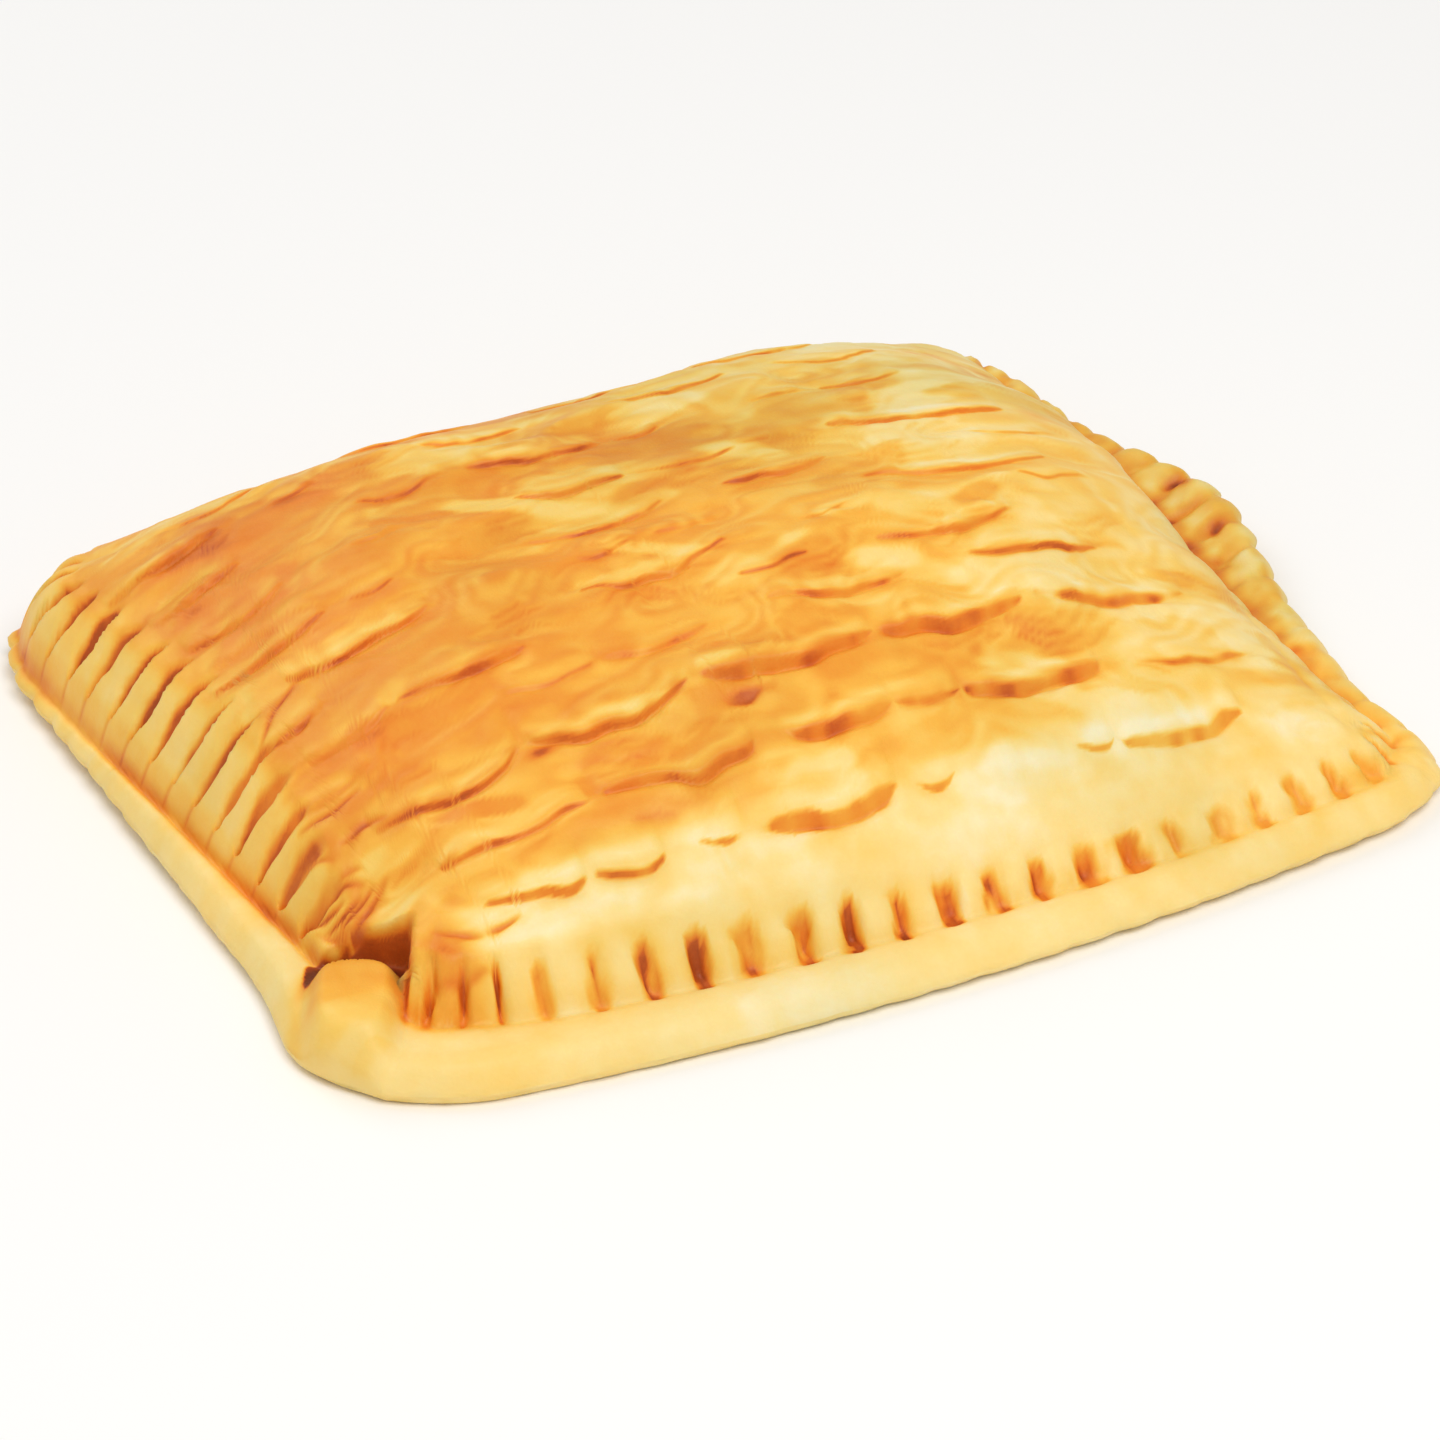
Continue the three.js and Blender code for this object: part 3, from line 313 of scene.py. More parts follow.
# Patches that baked darker or stayed paler: middle, half width, half depth and change
BROWN_PATCHES = (
    ((-22.0, -7.5), 6.0, 2.5, 0.12),
    ((-53.0, 23.0), 8.0, 9.0, 0.1),
    ((-38.0, 32.0), 9.0, 5.0, 0.1),
    ((-35.5, -26.0), 2.2, 0.9, 0.45),
    ((10.0, -25.0), 3.2, 0.9, 0.25),
    ((-8.0, -24.5), 5.0, 1.2, 0.15),
    ((-12.0, -27.5), 2.5, 0.7, 0.3),
    ((25.0, -32.8), 4.5, 0.8, 0.25),
    ((-60.8, -32.0), 1.0, 1.6, 0.4),
    ((63.4, -45.9), 4.2, 0.8, 0.3),
    ((57.0, -48.9), 3.4, 0.9, 0.26),
    ((-56.0, -44.5), 3.6, 3.0, 0.26),
    ((5.0, 12.0), 12.0, 4.0, -0.06),
    ((61.5, -39.0), 3.6, 1.5, 0.3),
    ((65.8, -19.0), 1.5, 0.9, 0.25),
    ((65.2, -25.0), 1.5, 0.9, 0.25),
    ((61.2, -33.5), 1.5, 0.9, 0.25),
)

# Patches with a clear edge: middle, half width, half depth, tilt and how brown they are
TONE_SHARE, TONE_GAIN, TONE_START, TONE_RAGGED, TONE_GRAIN = 0.9, 2.2, 0.5, (0.4, 0.3), 0.05
TONE_PATCHES = (
    ((-49.5, -7.6), 6.8, 3.0, 0.1, 0.72),
    ((-23.0, 1.0), 5.0, 2.4, -0.3, 0.7),
    ((-22.0, 7.0), 9.0, 1.6, -0.5, 0.67),
    ((-44.8, -29.2), 5.0, 1.3, -0.3, 0.72),
    ((29.2, -9.0), 3.6, 1.7, 0.3, 0.6),
    ((25.0, -28.8), 4.2, 1.6, 0.0, 0.6),
    ((-18.5, 12.0), 10.5, 2.5, -0.5, 0.3),
    ((-61.0, -29.6), 4.5, 3.4, 0.0, 0.66),
    ((-8.5, -4.0), 5.5, 1.8, -0.6, 0.3),
    ((10.0, 11.2), 5.0, 2.8, -0.5, 0.34),
    ((21.8, -8.8), 4.8, 2.2, -0.3, 0.3),
    ((14.2, -15.0), 4.8, 2.0, -0.2, 0.18),
    ((41.0, -16.2), 8.5, 2.8, 0.1, 0.25),
)

# Uneven things: amount, size in millimetres and seed, then the stretch along x, the stretch
# along y and the lean of x with y of those that aren't even all round
GRAIN = {
    "slash waver": (1.0, 3.1, 11, 1.0, 13.0),
    "slash bend": (0.8, 7.3, 13, 1.0, 17.0),
    "slash cut": (0.7, 3.3, 12, 1.0, 9.0),
    "slash fine cut": (0.35, 1.3, 18, 1.0, 5.0),
    "slash swell": (0.35, 6.0, 19, 1.0, 7.0),
    "mark edge": (0.3, 1.7, 14),
    "mark bend": (0.25, 3.6, 15),
    "mark fray": (0.35, 1.1, 16),
    "mark depth": (0.4, 1.8, 17, 1.6),
    "pressed": (0.6, 5.0, 32),
    "flange lumps": (0.34, 3.1, 33),
    "flange grain": (0.24, 1.5, 34),
    "dome lumps": (0.24, 11.0, 21),
    "dome folds": (0.2, 4.2, 22, 0.5),
    "skin": (0.05, 2.3, 23, 1.0, 1.7),
    "flakes": (1.0, 4.4, 24, 0.7),
    "fine flakes": (0.5, 2.1, 25, 0.7),
    "leaf bend across": (3.0, 9.0, 71),
    "leaf bend along": (1.5, 7.0, 72),
    "leaf level": (1.0, LEAF_SIZE, 73),
    "leaf fine level": (0.5, LEAF_SIZE / 2.1, 74),
    "leaf gaps": (2.2, 7.0, 75),
    "crease waver": (0.4, 2.4, 81),
    "rim layers": (1.0, 6.0, 61, 1.0, 40.0),
    "rim fine layers": (1.0, 1.7, 62, 1.0, 9.0),
    "rim brown": (0.04, 5.0, 63),
    "wide tone": (1.0, 13.0, 41),
    "fine tone": (1.0, 4.4, 44, 0.6),
    "flaky tone": (1.0, 4.4, 46, 0.3, 1.0, 0.2),
    "pale patches": (4.6, 6.5, 91, 0.42, 1.0, -0.1),
    "brown patches": (4.6, 7.5, 95, 0.4, 1.0, 0.1),
    "khaki patches": (1.0, 8.0, 97, 0.5),
    "patch edge": (0.3, 4.5, 42),
    "blotches": (1.0, 3.0, 53, 0.6),
    "fine blotches": (0.6, 1.6, 54, 1.0, 1.4),
    "specks": (1.0, 2.4, 55),
    "fine specks": (0.6, 1.2, 56),
    "slash brown": (0.12, 3.0, 47),
    "bold slash brown": (0.1, 1.3, 59, 0.8),
    "shoulder slash brown": (0.16, 1.6, 57),
    "stain": (1.0, 2.2, 52),
    "mark brown": (0.16, 1.6, 45),
    "frayed mark brown": (0.16, 1.0, 58, 1.5),
    "mark fill": (1.0, 1.1, 48),
    "ridges": (2.4, 1.5, 51, 2.2, 0.7),
    "foot crease": (0.45, 9.0, 49),
    "thumb brown": (0.08, 1.8, 50, 0.4),
}
OCTAVES, OCTAVE_SUM = ((1.0, 1.0), (0.5, 2.1), (0.25, 4.3)), 1.4

# The crust's colours from pale to dark, as seen on a screen
BROWN_MOST = 1.2
BROWNING_COLOURS = (
    (0.0, (255, 238, 190)),
    (0.125, (254, 224, 146)),
    (0.29, (252, 206, 100)),
    (0.42, (250, 186, 70)),
    (0.54, (243, 163, 52)),
    (0.67, (236, 134, 36)),
    (0.76, (208, 98, 28)),
    (0.86, (152, 62, 20)),
    (1.0, (86, 32, 10)),
)
# The khaki tint and where it shows: on the back and the right side partly the crust's own tone and partly
# painted shade, further from the light; the patches are its own tone
KHAKI_TINT = (0.84, 0.93, 1.0, 1.0)
KHAKI_LEAST, KHAKI_AND_SHADE_BACK, KHAKI_AND_SHADE_RIGHT = 0.12, 0.58, 0.88
KHAKI_BACK_Y, KHAKI_BACK_X, KHAKI_RIGHT_X, KHAKI_RIGHT_Y = (-4, 20), (-30, 10), (52, 60), (-28, -14)
KHAKI_PATCHES, KHAKI_PATCHES_X = (0.35, 0.6), (-45, -15)

# The crust's fine textures: scale, detail and roughness, then how much each one shows
MOTTLE, SPECKLE = (260.0, 5, 0.55), (1100.0, 3, 0.7)
MOTTLE_AMOUNT, SPECKLE_AMOUNT = 0.14, 0.06
BLISTERS, BUMP_GRAIN, BUMP_GRAIN_AMOUNT = (420.0, 4, 0.55), (1900.0, 3, 0.65), 0.35
BUMP_STRENGTH, BUMP_DISTANCE = 0.35, 0.0004
ROUGHNESS_RANGES = {"From Min": 0.3, "From Max": 0.7, "To Min": 0.42, "To Max": 0.56}
CRUST_SHADER = {
    "Specular IOR Level": 0.25,
    "Subsurface Weight": 0.12,
    "Subsurface Radius": (1.0, 0.45, 0.15),
    "Subsurface Scale": 0.002,
    "Coat Weight": 0.08,
    "Coat Roughness": 0.3,
}
FLOOR_SHADER = {"Base Color": (0.97, 0.97, 0.97, 1), "Roughness": 0.9}

# The camera, in metres and degrees
CAMERA_AZIMUTH, CAMERA_PITCH = -29.0, 33.0
CAMERA_DISTANCE = 0.5413
CAMERA_LENS, CAMERA_SENSOR, CAMERA_CLIP = 112.5, 36.0, (0.01, 50.0)
CAMERA_TARGET = (-0.00228, -0.00005, 0.0)

# The light: name, place, aim, size, power and colour
WORLD_COLOUR = (1.0, 0.99, 0.97, 1.0)
WORLD_STRENGTH = 0.48
FLOOR_HALF = 3.0
LIGHTS = (
    ("key", (0.0, -0.55, 1.0), (0.0, 0.0, 0.0), 0.8, 6.9, (1.0, 0.98, 0.95)),
    ("back", (-0.3, 0.8, 0.8), (0.0, 0.0, 0.0), 0.8, 2.8, (1.0, 1.0, 1.0)),
)

LENGTH_RUN = 2 * (HALF_LENGTH - CORNER_BLOCK)
DEPTH_RUN = 2 * (HALF_DEPTH - CORNER_BLOCK)
CORNER_RUN = 2 * CORNER_BLOCK


# Plain helpers

def clamp(value, low, high):
    return np.minimum(np.maximum(value, low), high)


def smooth(value):
    t = clamp(value, 0.0, 1.0)
    return t * t * (3 - 2 * t)


def fade(value, start, end):
    """Runs smoothly from 0 at the start to 1 at the end."""
    return smooth((value - start) / (end - start))


def bell(value, centre, width):
    return np.exp(-(((value - centre) / width) ** 2))


def lerp(low, high, share):
    return low + (high - low) * share


def noise(x, y, size, seed):
    """Smooth uneven values between -1 and 1, about size millimetres across."""
    columns, rows = NOISE_TABLE
    table = np.random.default_rng(seed).uniform(-1, 1, NOISE_TABLE)
    u, v = x / size + NOISE_OFFSET, y / size + NOISE_OFFSET
    i, j = np.floor(u).astype(int), np.floor(v).astype(int)
    s, t = smooth(u - i), smooth(v - j)

    def row(j):
        return lerp(table[i % columns, j % rows], table[(i + 1) % columns, j % rows], s)

    return lerp(row(j), row(j + 1), t)


def layered_noise(x, y, size, seed):
    layers = (
        share * noise(x, y, size / finer, seed + number) for number, (share, finer) in enumerate(OCTAVES)
    )
    return sum(layers) / OCTAVE_SUM


def grain(kind, x, y, amount, size, seed, stretch_x=1.0, stretch_y=1.0, lean=0.0):
    return amount * kind(stretch_x * x + lean * y, stretch_y * y, size, seed)


def rough(name, x, y):
    """How uneven a thing of the table is at a point."""
    return grain(noise, x, y, *GRAIN[name])


def layered(name, x, y):
    """The same, with finer layers in it."""
    return grain(layered_noise, x, y, *GRAIN[name])


def fixed_draw(place):
    """A draw between 0 and 1 that is always the same at a place."""
    wave = np.sin(place) * DRAW_SPREAD
    return wave - np.floor(wave)


def uneven(number, seed):
    """A fixed draw for each whole number."""
    return fixed_draw(number * DRAW_TURNS[0] + seed * DRAW_TURNS[1])


# The shape of the pie, by the same rules as the solid

def at_station(values, x, y):
    """A value between the eight stations, evened out towards the middle of the pie."""
    values = np.array(values, float)
    turned = np.arctan2(y / HALF_DEPTH, x / HALF_LENGTH) / (2 * np.pi)
    turn = (turned * STATIONS + RIGHT_STATION) % STATIONS
    index = np.floor(turn).astype(int) % STATIONS
    t = turn - np.floor(turn)
    before, here, following, after = (values[(index + step) % STATIONS] for step in (-1, 0, 1, 2))
    slope = following - before
    bend = 2 * before - 5 * here + 4 * following - after
    twist = 3 * here - before - 3 * following + after
    value = 0.5 * (2 * here + slope * t + bend * t**2 + twist * t**3)
    out_share = np.maximum(np.abs(x) / HALF_LENGTH, np.abs(y) / HALF_DEPTH)
    return lerp(values.mean(), value, fade(out_share, *STATION_FADE))


def edge_inset(x, y):
    return np.minimum(HALF_LENGTH - np.abs(x), HALF_DEPTH - np.abs(y))


def pocket_share(x, y):
    return np.exp(-((x - POCKET_X) ** 2 + (y - POCKET_Y) ** 2) / POCKET_REACH**2)


def flange_width(x, y):
    return at_station(FLANGE_WIDTH, x, y) + POCKET_INSET * pocket_share(x, y)


def wall_run(x, y):
    return at_station(WALL_RUN, x, y) + POCKET_RUN * pocket_share(x, y)


def mix_corners(values, x, y):
    right, back = (x / HALF_LENGTH + 1) / 2, (y / HALF_DEPTH + 1) / 2
    shares = ((1 - right) * (1 - back), right * (1 - back), right * back, (1 - right) * back)
    return sum(value * share for value, share in zip(values, shares))


def plan(x, y):
    """Where a point of the flat rectangular sheet lies in plan."""
    over_x = np.maximum(np.abs(x) - (HALF_LENGTH - ROUND_BLOCK), 0)
    over_y = np.maximum(np.abs(y) - (HALF_DEPTH - ROUND_BLOCK), 0)
    reach = np.hypot(over_x, over_y)
    squash = np.where(reach > 0, np.maximum(over_x, over_y) / np.maximum(reach, 1e-9), 1.0)
    keep = 1 - mix_corners(CORNER_ROUNDNESS, x, y) * (1 - squash)
    round_x = np.where(over_x > 0, np.sign(x) * (HALF_LENGTH - ROUND_BLOCK + over_x * keep), x)
    round_y = np.where(over_y > 0, np.sign(y) * (HALF_DEPTH - ROUND_BLOCK + over_y * keep), y)
    along_x, along_y = round_x / HALF_LENGTH, round_y / HALF_DEPTH
    to_right, to_left = clamp(along_x, 0, 1), clamp(-along_x, 0, 1)
    to_back, to_front = clamp(along_y, 0, 1), clamp(-along_y, 0, 1)
    out_x = round_x + mix_corners(CORNER_SHIFT_X, x, y)
    out_y = round_y + mix_corners(CORNER_SHIFT_Y, x, y)
    out_y = out_y + (to_back**2 * BOW_BACK - to_front**2 * BOW_FRONT) * (1 - along_x**2)
    out_x = out_x + to_right**END_POWER * BULGE_OUT * bell(y, BULGE_AT, BULGE_WIDTH)
    out_x = out_x + to_right**END_POWER * NECK_OUT * bell(y, NECK_AT, NECK_WIDTH)
    out_x = out_x - to_left**END_POWER * TAIL_OUT * bell(y, TAIL_AT, TAIL_WIDTH)
    set_back = pocket_share(x, y) * fade(edge_inset(x, y), *POCKET_FADE)
    return out_x + POCKET_SHIFT_X * set_back, out_y + POCKET_SHIFT_Y * set_back


def corner_share(first, second):
    low = 0.5 * first / np.maximum(second, 1e-9)
    high = 1 - 0.5 * second / np.maximum(first, 1e-9)
    return np.where(first <= second, low, high)


def along(x, y):
    """How far round the edge a point is, anticlockwise from the left end of the front's run."""
    over_x = np.abs(x) - (HALF_LENGTH - CORNER_BLOCK)
    over_y = np.abs(y) - (HALF_DEPTH - CORNER_BLOCK)
    half = LENGTH_RUN + DEPTH_RUN + 2 * CORNER_RUN
    on_long = (over_x <= 0) & ((over_y > 0) | (HALF_DEPTH - np.abs(y) <= HALF_LENGTH - np.abs(x)))
    long_place = np.where(y < 0, x + LENGTH_RUN / 2, half + LENGTH_RUN / 2 - x)
    short_start = LENGTH_RUN + CORNER_RUN + DEPTH_RUN / 2
    short_place = np.where(x > 0, short_start + y, half + short_start - y)
    passed = np.where(x * y < 0, corner_share(over_x, over_y), corner_share(over_y, over_x))
    corner_start = np.where(
        y < 0,
        np.where(x > 0, LENGTH_RUN, 2 * half - CORNER_RUN),
        np.where(x > 0, half - CORNER_RUN, half + LENGTH_RUN),
    )
    corner_place = corner_start + passed * CORNER_RUN
    return np.where(on_long, long_place, np.where(over_y <= 0, short_place, corner_place))


def from_crimp(x, y):
    """Signed distance along the edge from the nearest crimp, and the crimp's number."""
    rest = along(x, y)
    distance, number = np.zeros_like(rest), np.zeros_like(rest)
    runs = [
        (LENGTH_RUN, CRIMPS_LONG),
        (CORNER_RUN, CRIMPS_CORNER),
        (DEPTH_RUN, CRIMPS_SHORT),
        (CORNER_RUN, CRIMPS_CORNER),
    ] * 2
    start, counted = 0.0, 0
    for length, crimps in runs:
        pitch = length / crimps
        inside = (rest >= start) & (rest <= start + length)
        turns = (rest - start) / pitch
        distance = np.where(inside, (turns % 1 - 0.5) * pitch, distance)
        number = np.where(inside, counted + np.floor(turns), number)
        start += length
        counted += crimps
    return distance, number


def crimp_slimness(x, y, foot):
    """How narrow a mark is at a distance from the wall's foot."""
    start = at_station(CRIMP_START, x, y)
    length = at_station(CRIMP_REACH, x, y) * wall_run(x, y) - start
    swell = np.sin(np.pi * clamp((foot - start) / length, 0, 1)) ** CRIMP_POINT_POWER
    return lerp(1, np.maximum(swell, CRIMP_POINT), clamp(at_station(CRIMP_TAPER, x, y), 0, 1))


def mark_place(x, y, foot):
    """Signed distance along the edge from the middle of the nearest mark, and its number."""
    distance, number = from_crimp(x, y)
    shift = CRIMP_SHIFT * (uneven(number, SHIFT_SEED) - 0.5) + at_station(CRIMP_LEAN, x, y) * foot
    return distance - shift, number


def crimp_strength(x, y, foot=0.0, slimness=1.0):
    distance, number = mark_place(x, y, foot)
    width = CRIMP_HALF_WIDTH * lerp(*CRIMP_WIDTHS, uneven(number, WIDTH_SEED)) * slimness
    depth = lerp(*CRIMP_DEPTHS, uneven(number, DEPTH_SEED))
    return depth * bell(distance, 0, width) * (1 - POCKET_CALM * pocket_share(x, y))


def crimp_thread(x, y, foot):
    """A thin line that runs on from each drawn-out mark down to the wall's foot."""
    distance, _ = mark_place(x, y, np.maximum(foot, 0))
    end = at_station(CRIMP_START, x, y) + THREAD_REACH
    return bell(distance, 0, THREAD_WIDTH) * smooth(foot / THREAD_START) * smooth((end - foot) / THREAD_FADE)


def dome_share(value, half, start, fullness):
    t = clamp((half - np.abs(value) - start) / (half - start), 0, 1)
    return 1 - (1 - t) ** fullness


def dome_height(x, y):
    left, right, front, back = range(4)
    share_x = np.where(
        x < 0,
        dome_share(x, HALF_LENGTH, DOME_START[left], DOME_FULLNESS[left]),
        dome_share(x, HALF_LENGTH, DOME_START[right], DOME_FULLNESS[right]),
    )
    share_y = np.where(
        y < 0,
        dome_share(y, HALF_DEPTH, DOME_START[front], DOME_FULLNESS[front]),
        dome_share(y, HALF_DEPTH, DOME_START[back], DOME_FULLNESS[back]),
    )
    fine = np.sin(x / LUMP_FINE + y / LUMP_BROAD + 1) * np.cos(y / LUMP_FINE - x / LUMP_BROAD)
    broad = LUMP_BROAD_SHARE * np.sin((x - y) / LUMP_MIDDLE)
    return share_x * share_y * (CROWN_RISE + LUMP_HEIGHT * (fine + broad))


# The slashes

def slash_sag(row, slash):
    """How far a slash sags towards the front, as a share of its length."""
    numbers = (row, slash, SLASH_SAG_SEED)
    return lerp(*SLASH_SAG, fixed_draw(sum(number * turn for number, turn in zip(numbers, DRAW_TURNS))))


def slash_row(row, x):
    """The middle line of a slash row at x, and how deep it is cut there."""
    place, tilt, slashes = SLASH_ROWS[row]
    line, deep = place + tilt * x, np.zeros_like(x)
    for number, (left, right, depth) in enumerate(slashes):
        cut = np.sin(np.pi * clamp((x - left) / (right - left), 0, 1))
        line = line - cut * (right - left) * slash_sag(row, number)
        deep = np.maximum(deep, depth * cut**SLASH_ENDS)
    rows = np.full_like(x, row)
    waver = rough("slash waver", x, rows) + rough("slash bend", x, rows)
    return line - SLASH_WAVER * waver * smooth(deep / SLASH_WAVER_DEPTH), deep


def bold_share(x, y):
    """How bold and orange the slashes are."""
    return fade(x, *BOLD_X) * fade(-y, *BOLD_FRONT)


def slash_relief(x, y):
    """The relief of all slashes: its height, its lean, and how much streak, painted lip highlight and
    painted shade.
    """
    relief, lean, streaks, lip_highlights, painted_shades = np.zeros((5,) + x.shape)
    bold = bold_share(x, y)
    for row in range(len(SLASH_ROWS)):
        line, depth = slash_row(row, x)
        past = y - line
        near = (past > -SLASH_BEFORE) & (past < SLASH_BEHIND)
        rows = np.full_like(x, row)
        groove = bell(past, GROOVE_AT, lerp(*GROOVE_WIDTH, bold)) * lerp(*GROOVE_SHARE, bold)
        lip = smooth((past - SLASH_LIP_FROM) / SLASH_LIP_RISE)
        lip = lip * np.exp(-np.maximum(past, 0) / SLASH_LIP_REACH)
        swell = 1 + (1 - bold) * rough("slash swell", x, rows)
        relief += np.where(near, depth * swell * (SLASH_LIP * lip - SLASH_SINK * groove), 0)
        lean -= np.where(near, SLASH_LEAN * depth * bell(past, SLASH_LEAN_AT, SLASH_LEAN_WIDTH), 0)

        strength = depth * (1 + rough("slash cut", x, rows) + rough("slash fine cut", x, rows))
        width = lerp(*STREAK_WIDTH, bold) + lerp(*STREAK_GROWTH, bold) * strength
        gain, start = STREAK_ENDS
        width *= lerp(1, lerp(STREAK_NARROW, 1, smooth(gain * depth - start)), bold)
        streak = bell(past, STREAK_AT, width) * smooth(strength / STREAK_FADE)
        streak = streak * lerp(STREAK_LEAST, 1, clamp(strength, 0, 1))
        streaks = np.maximum(streaks, near * streak)
        # Painted highlight on the lip behind the slash, and painted shade about it
        lip_highlights = np.maximum(lip_highlights, near * depth * bell(past, LIP_AT, LIP_WIDTH))
        painted_shades = np.maximum(painted_shades, near * depth * np.exp(-np.abs(past - SHADE_AT) / SHADE_REACH))
    return relief, lean, streaks, lip_highlights, painted_shades


def thumb_place(x, y):
    """How far a point is across the thumb and behind its middle."""
    turn = math.radians(THUMB_TURN)
    plan_x, plan_y = plan(x, y)
    from_x, from_y = plan_x - THUMB_X, plan_y - THUMB_Y
    across = from_x * math.cos(turn) - from_y * math.sin(turn)
    behind = from_x * math.sin(turn) + from_y * math.cos(turn)
    return across, behind


def thumb_reach(x, y):
    """How far out a point is from the thumb's middle: 1 is at its edge."""
    across, behind = thumb_place(x, y)
    half = np.where(behind < 0, THUMB_FRONT, THUMB_BACK)
    power = THUMB_SQUARENESS
    return (np.abs(across / THUMB_WIDTH) ** power + np.abs(behind / half) ** power) ** (1 / power)


def thumb_height(x, y):
    return THUMB_HEIGHT * smooth((1 - thumb_reach(x, y)) / THUMB_SOFTNESS)


def recess_share(x, y):
    """The slot behind the thumb and down its right side, cut into the crust."""
    across, behind = thumb_place(x, y)
    back = smooth((RECESS_BACK - RECESS_ARCH * across**2 - behind) / RECESS_EDGE)
    side = smooth((RECESS_SIDE - np.abs(across)) / RECESS_EDGE)
    front = RECESS_FRONT + RECESS_SHORTER * smooth(-across / RECESS_FADE)
    return back * side * smooth((behind - front) / RECESS_FADE)


def corner_dip(x, y):
    """The crust sinks towards the slot."""
    across, behind = thumb_place(x, y)
    return DIP_DEPTH * bell(across, DIP_ACROSS, DIP_WIDTH) * bell(behind, DIP_BEHIND, DIP_REACH)


def overhang_share(x, y):
    """The lip of the crust that hangs over the slot."""
    across, behind = thumb_place(x, y)
    edge = RECESS_BACK - RECESS_ARCH * across**2
    sides = smooth((RECESS_SIDE - np.abs(across)) / OVERHANG_ENDS)
    return bell(behind, edge + OVERHANG_BEHIND, OVERHANG_DEPTH) * sides


# The leaves of pastry and the fine creases

def leaves(x, y):
    """Leaves of pastry that lie over each other: their height, the painted shadow line along their edges,
    and their shade, a tone of their own with painted light across each leaf.
    """
    bend_x, bend_y = rough("leaf bend across", x, y), rough("leaf bend along", x, y)

    def level_at(shift_x, shift_y):
        u, v = LEAF_STRETCH * (x + shift_x + bend_x), y + shift_y + bend_y
        return LEAF_LEVELS * (rough("leaf level", u, v) + rough("leaf fine level", u, v))

    level = level_at(0, 0)
    rise_x = (level_at(LEAF_PROBE, 0) - level) / LEAF_PROBE
    rise_y = (level_at(0, LEAF_PROBE) - level) / LEAF_PROBE
    slope = np.hypot(rise_x, rise_y)
    gentle = fade(slope, *LEAF_GENTLE)
    step, passed = np.floor(level + 0.5), (level + 0.5) % 1
    risen = smooth(passed / LEAF_RISER)
    height = LEAF_HEIGHT * lerp(level + LEAF_MIDDLE, step + risen, gentle)

    # The painted shadow line along the step at each leaf's edge
    past_edge = ((passed + 0.5 - LEAF_LINE_AT) % 1 - 0.5) / np.maximum(slope, LEAF_LINE_FLATTEST)
    edge = bell(past_edge, 0, LEAF_LINE_WIDTH) * smooth(LEAF_FACING * rise_y)
    edge *= fade(slope, *LEAF_LINE_GENTLE) * smooth(rough("leaf gaps", x, y) + LEAF_GAPS)
    tone = lerp(uneven(step - 1, LEAF_TONE_SEED), uneven(step, LEAF_TONE_SEED), risen)
    # Painted light across each leaf, on top of its own tone
    wave = np.sin(2 * np.pi * (passed - LEAF_WAVE_AT))
    shade = gentle * (LEAF_TONE * (tone - 0.5) + LEAF_LIGHT_WAVE * wave)
    return height, edge, shade


def drawn_wrinkles():
    """Faint creases drawn over the crust, written as the listed ones are."""
    wrinkles = []
    draws = np.random.default_rng(WRINKLE_SEED)
    for _ in range(WRINKLE_COUNT):
        from_x, from_y = draws.uniform(*WRINKLE_X), draws.uniform(*WRINKLE_Y)
        length, turn = draws.uniform(*WRINKLE_LENGTH), draws.uniform(*WRINKLE_TURN)
        bend, strength = draws.uniform(*WRINKLE_BEND), draws.uniform(*WRINKLE_STRENGTH)
        wrinkles.append((from_x, from_y, from_x + length, from_y + length * turn, bend, strength))
    return wrinkles


def crease_share(x, y, creases, width):
    share = np.zeros_like(x)
    waver = rough("crease waver", x, y)
    for from_x, from_y, to_x, to_y, bend, strength in creases:
        run_x, run_y = to_x - from_x, to_y - from_y
        length = math.hypot(run_x, run_y)
        passed = ((x - from_x) * run_x + (y - from_y) * run_y) / length**2
        aside = ((y - from_y) * run_x - (x - from_x) * run_y) / length
        body = np.sin(np.pi * clamp(passed, 0, 1))
        crease = strength * body**CREASE_ENDS * bell(aside + waver, bend * body, width)
        share = np.maximum(share, crease)
    return share


# The lines of the fine mesh

def even_by_density(density, samples, count):
    """Places along samples so that each step holds the same share of the density."""
    total = np.cumsum(density) - density[0]
    return np.interp(np.linspace(0, total[-1], count), total, samples)


def sheet_columns():
    """The places in x of the mesh's columns: they bunch up at both ends and at the slot."""
    samples = np.linspace(-HALF_LENGTH, HALF_LENGTH, DENSITY_SAMPLES)
    left, right = END_SPACING
    near_end = fade(HALF_LENGTH - np.abs(samples), *END_BAND)
    density = 1 / lerp(DOME_SPACING, np.where(samples < 0, left, right), near_end)
    start, end = SLOT_COLUMNS
    near_slot = smooth((samples - start) / SLOT_FADE) * smooth((end - samples) / SLOT_FADE)
    density = np.maximum(density, near_slot / SLOT_SPACING)
    return even_by_density(density, samples, COLUMNS)


def slot_edge(x):
    """Where the slot's back edge crosses a column of the sheet, and how near the slot that is."""
    y = SLOT_EDGE_GUESS
    low, high = SLOT_EDGE_RANGE
    for _ in range(SLOT_EDGE_ROUNDS):
        across, behind = thumb_place(x, y)
        y += SLOT_EDGE_STEP * (RECESS_BACK - RECESS_EDGE / 2 - RECESS_ARCH * across**2 - behind)
        y = min(max(y, low), high)
    return y, fade(x, *SLOT_REST)


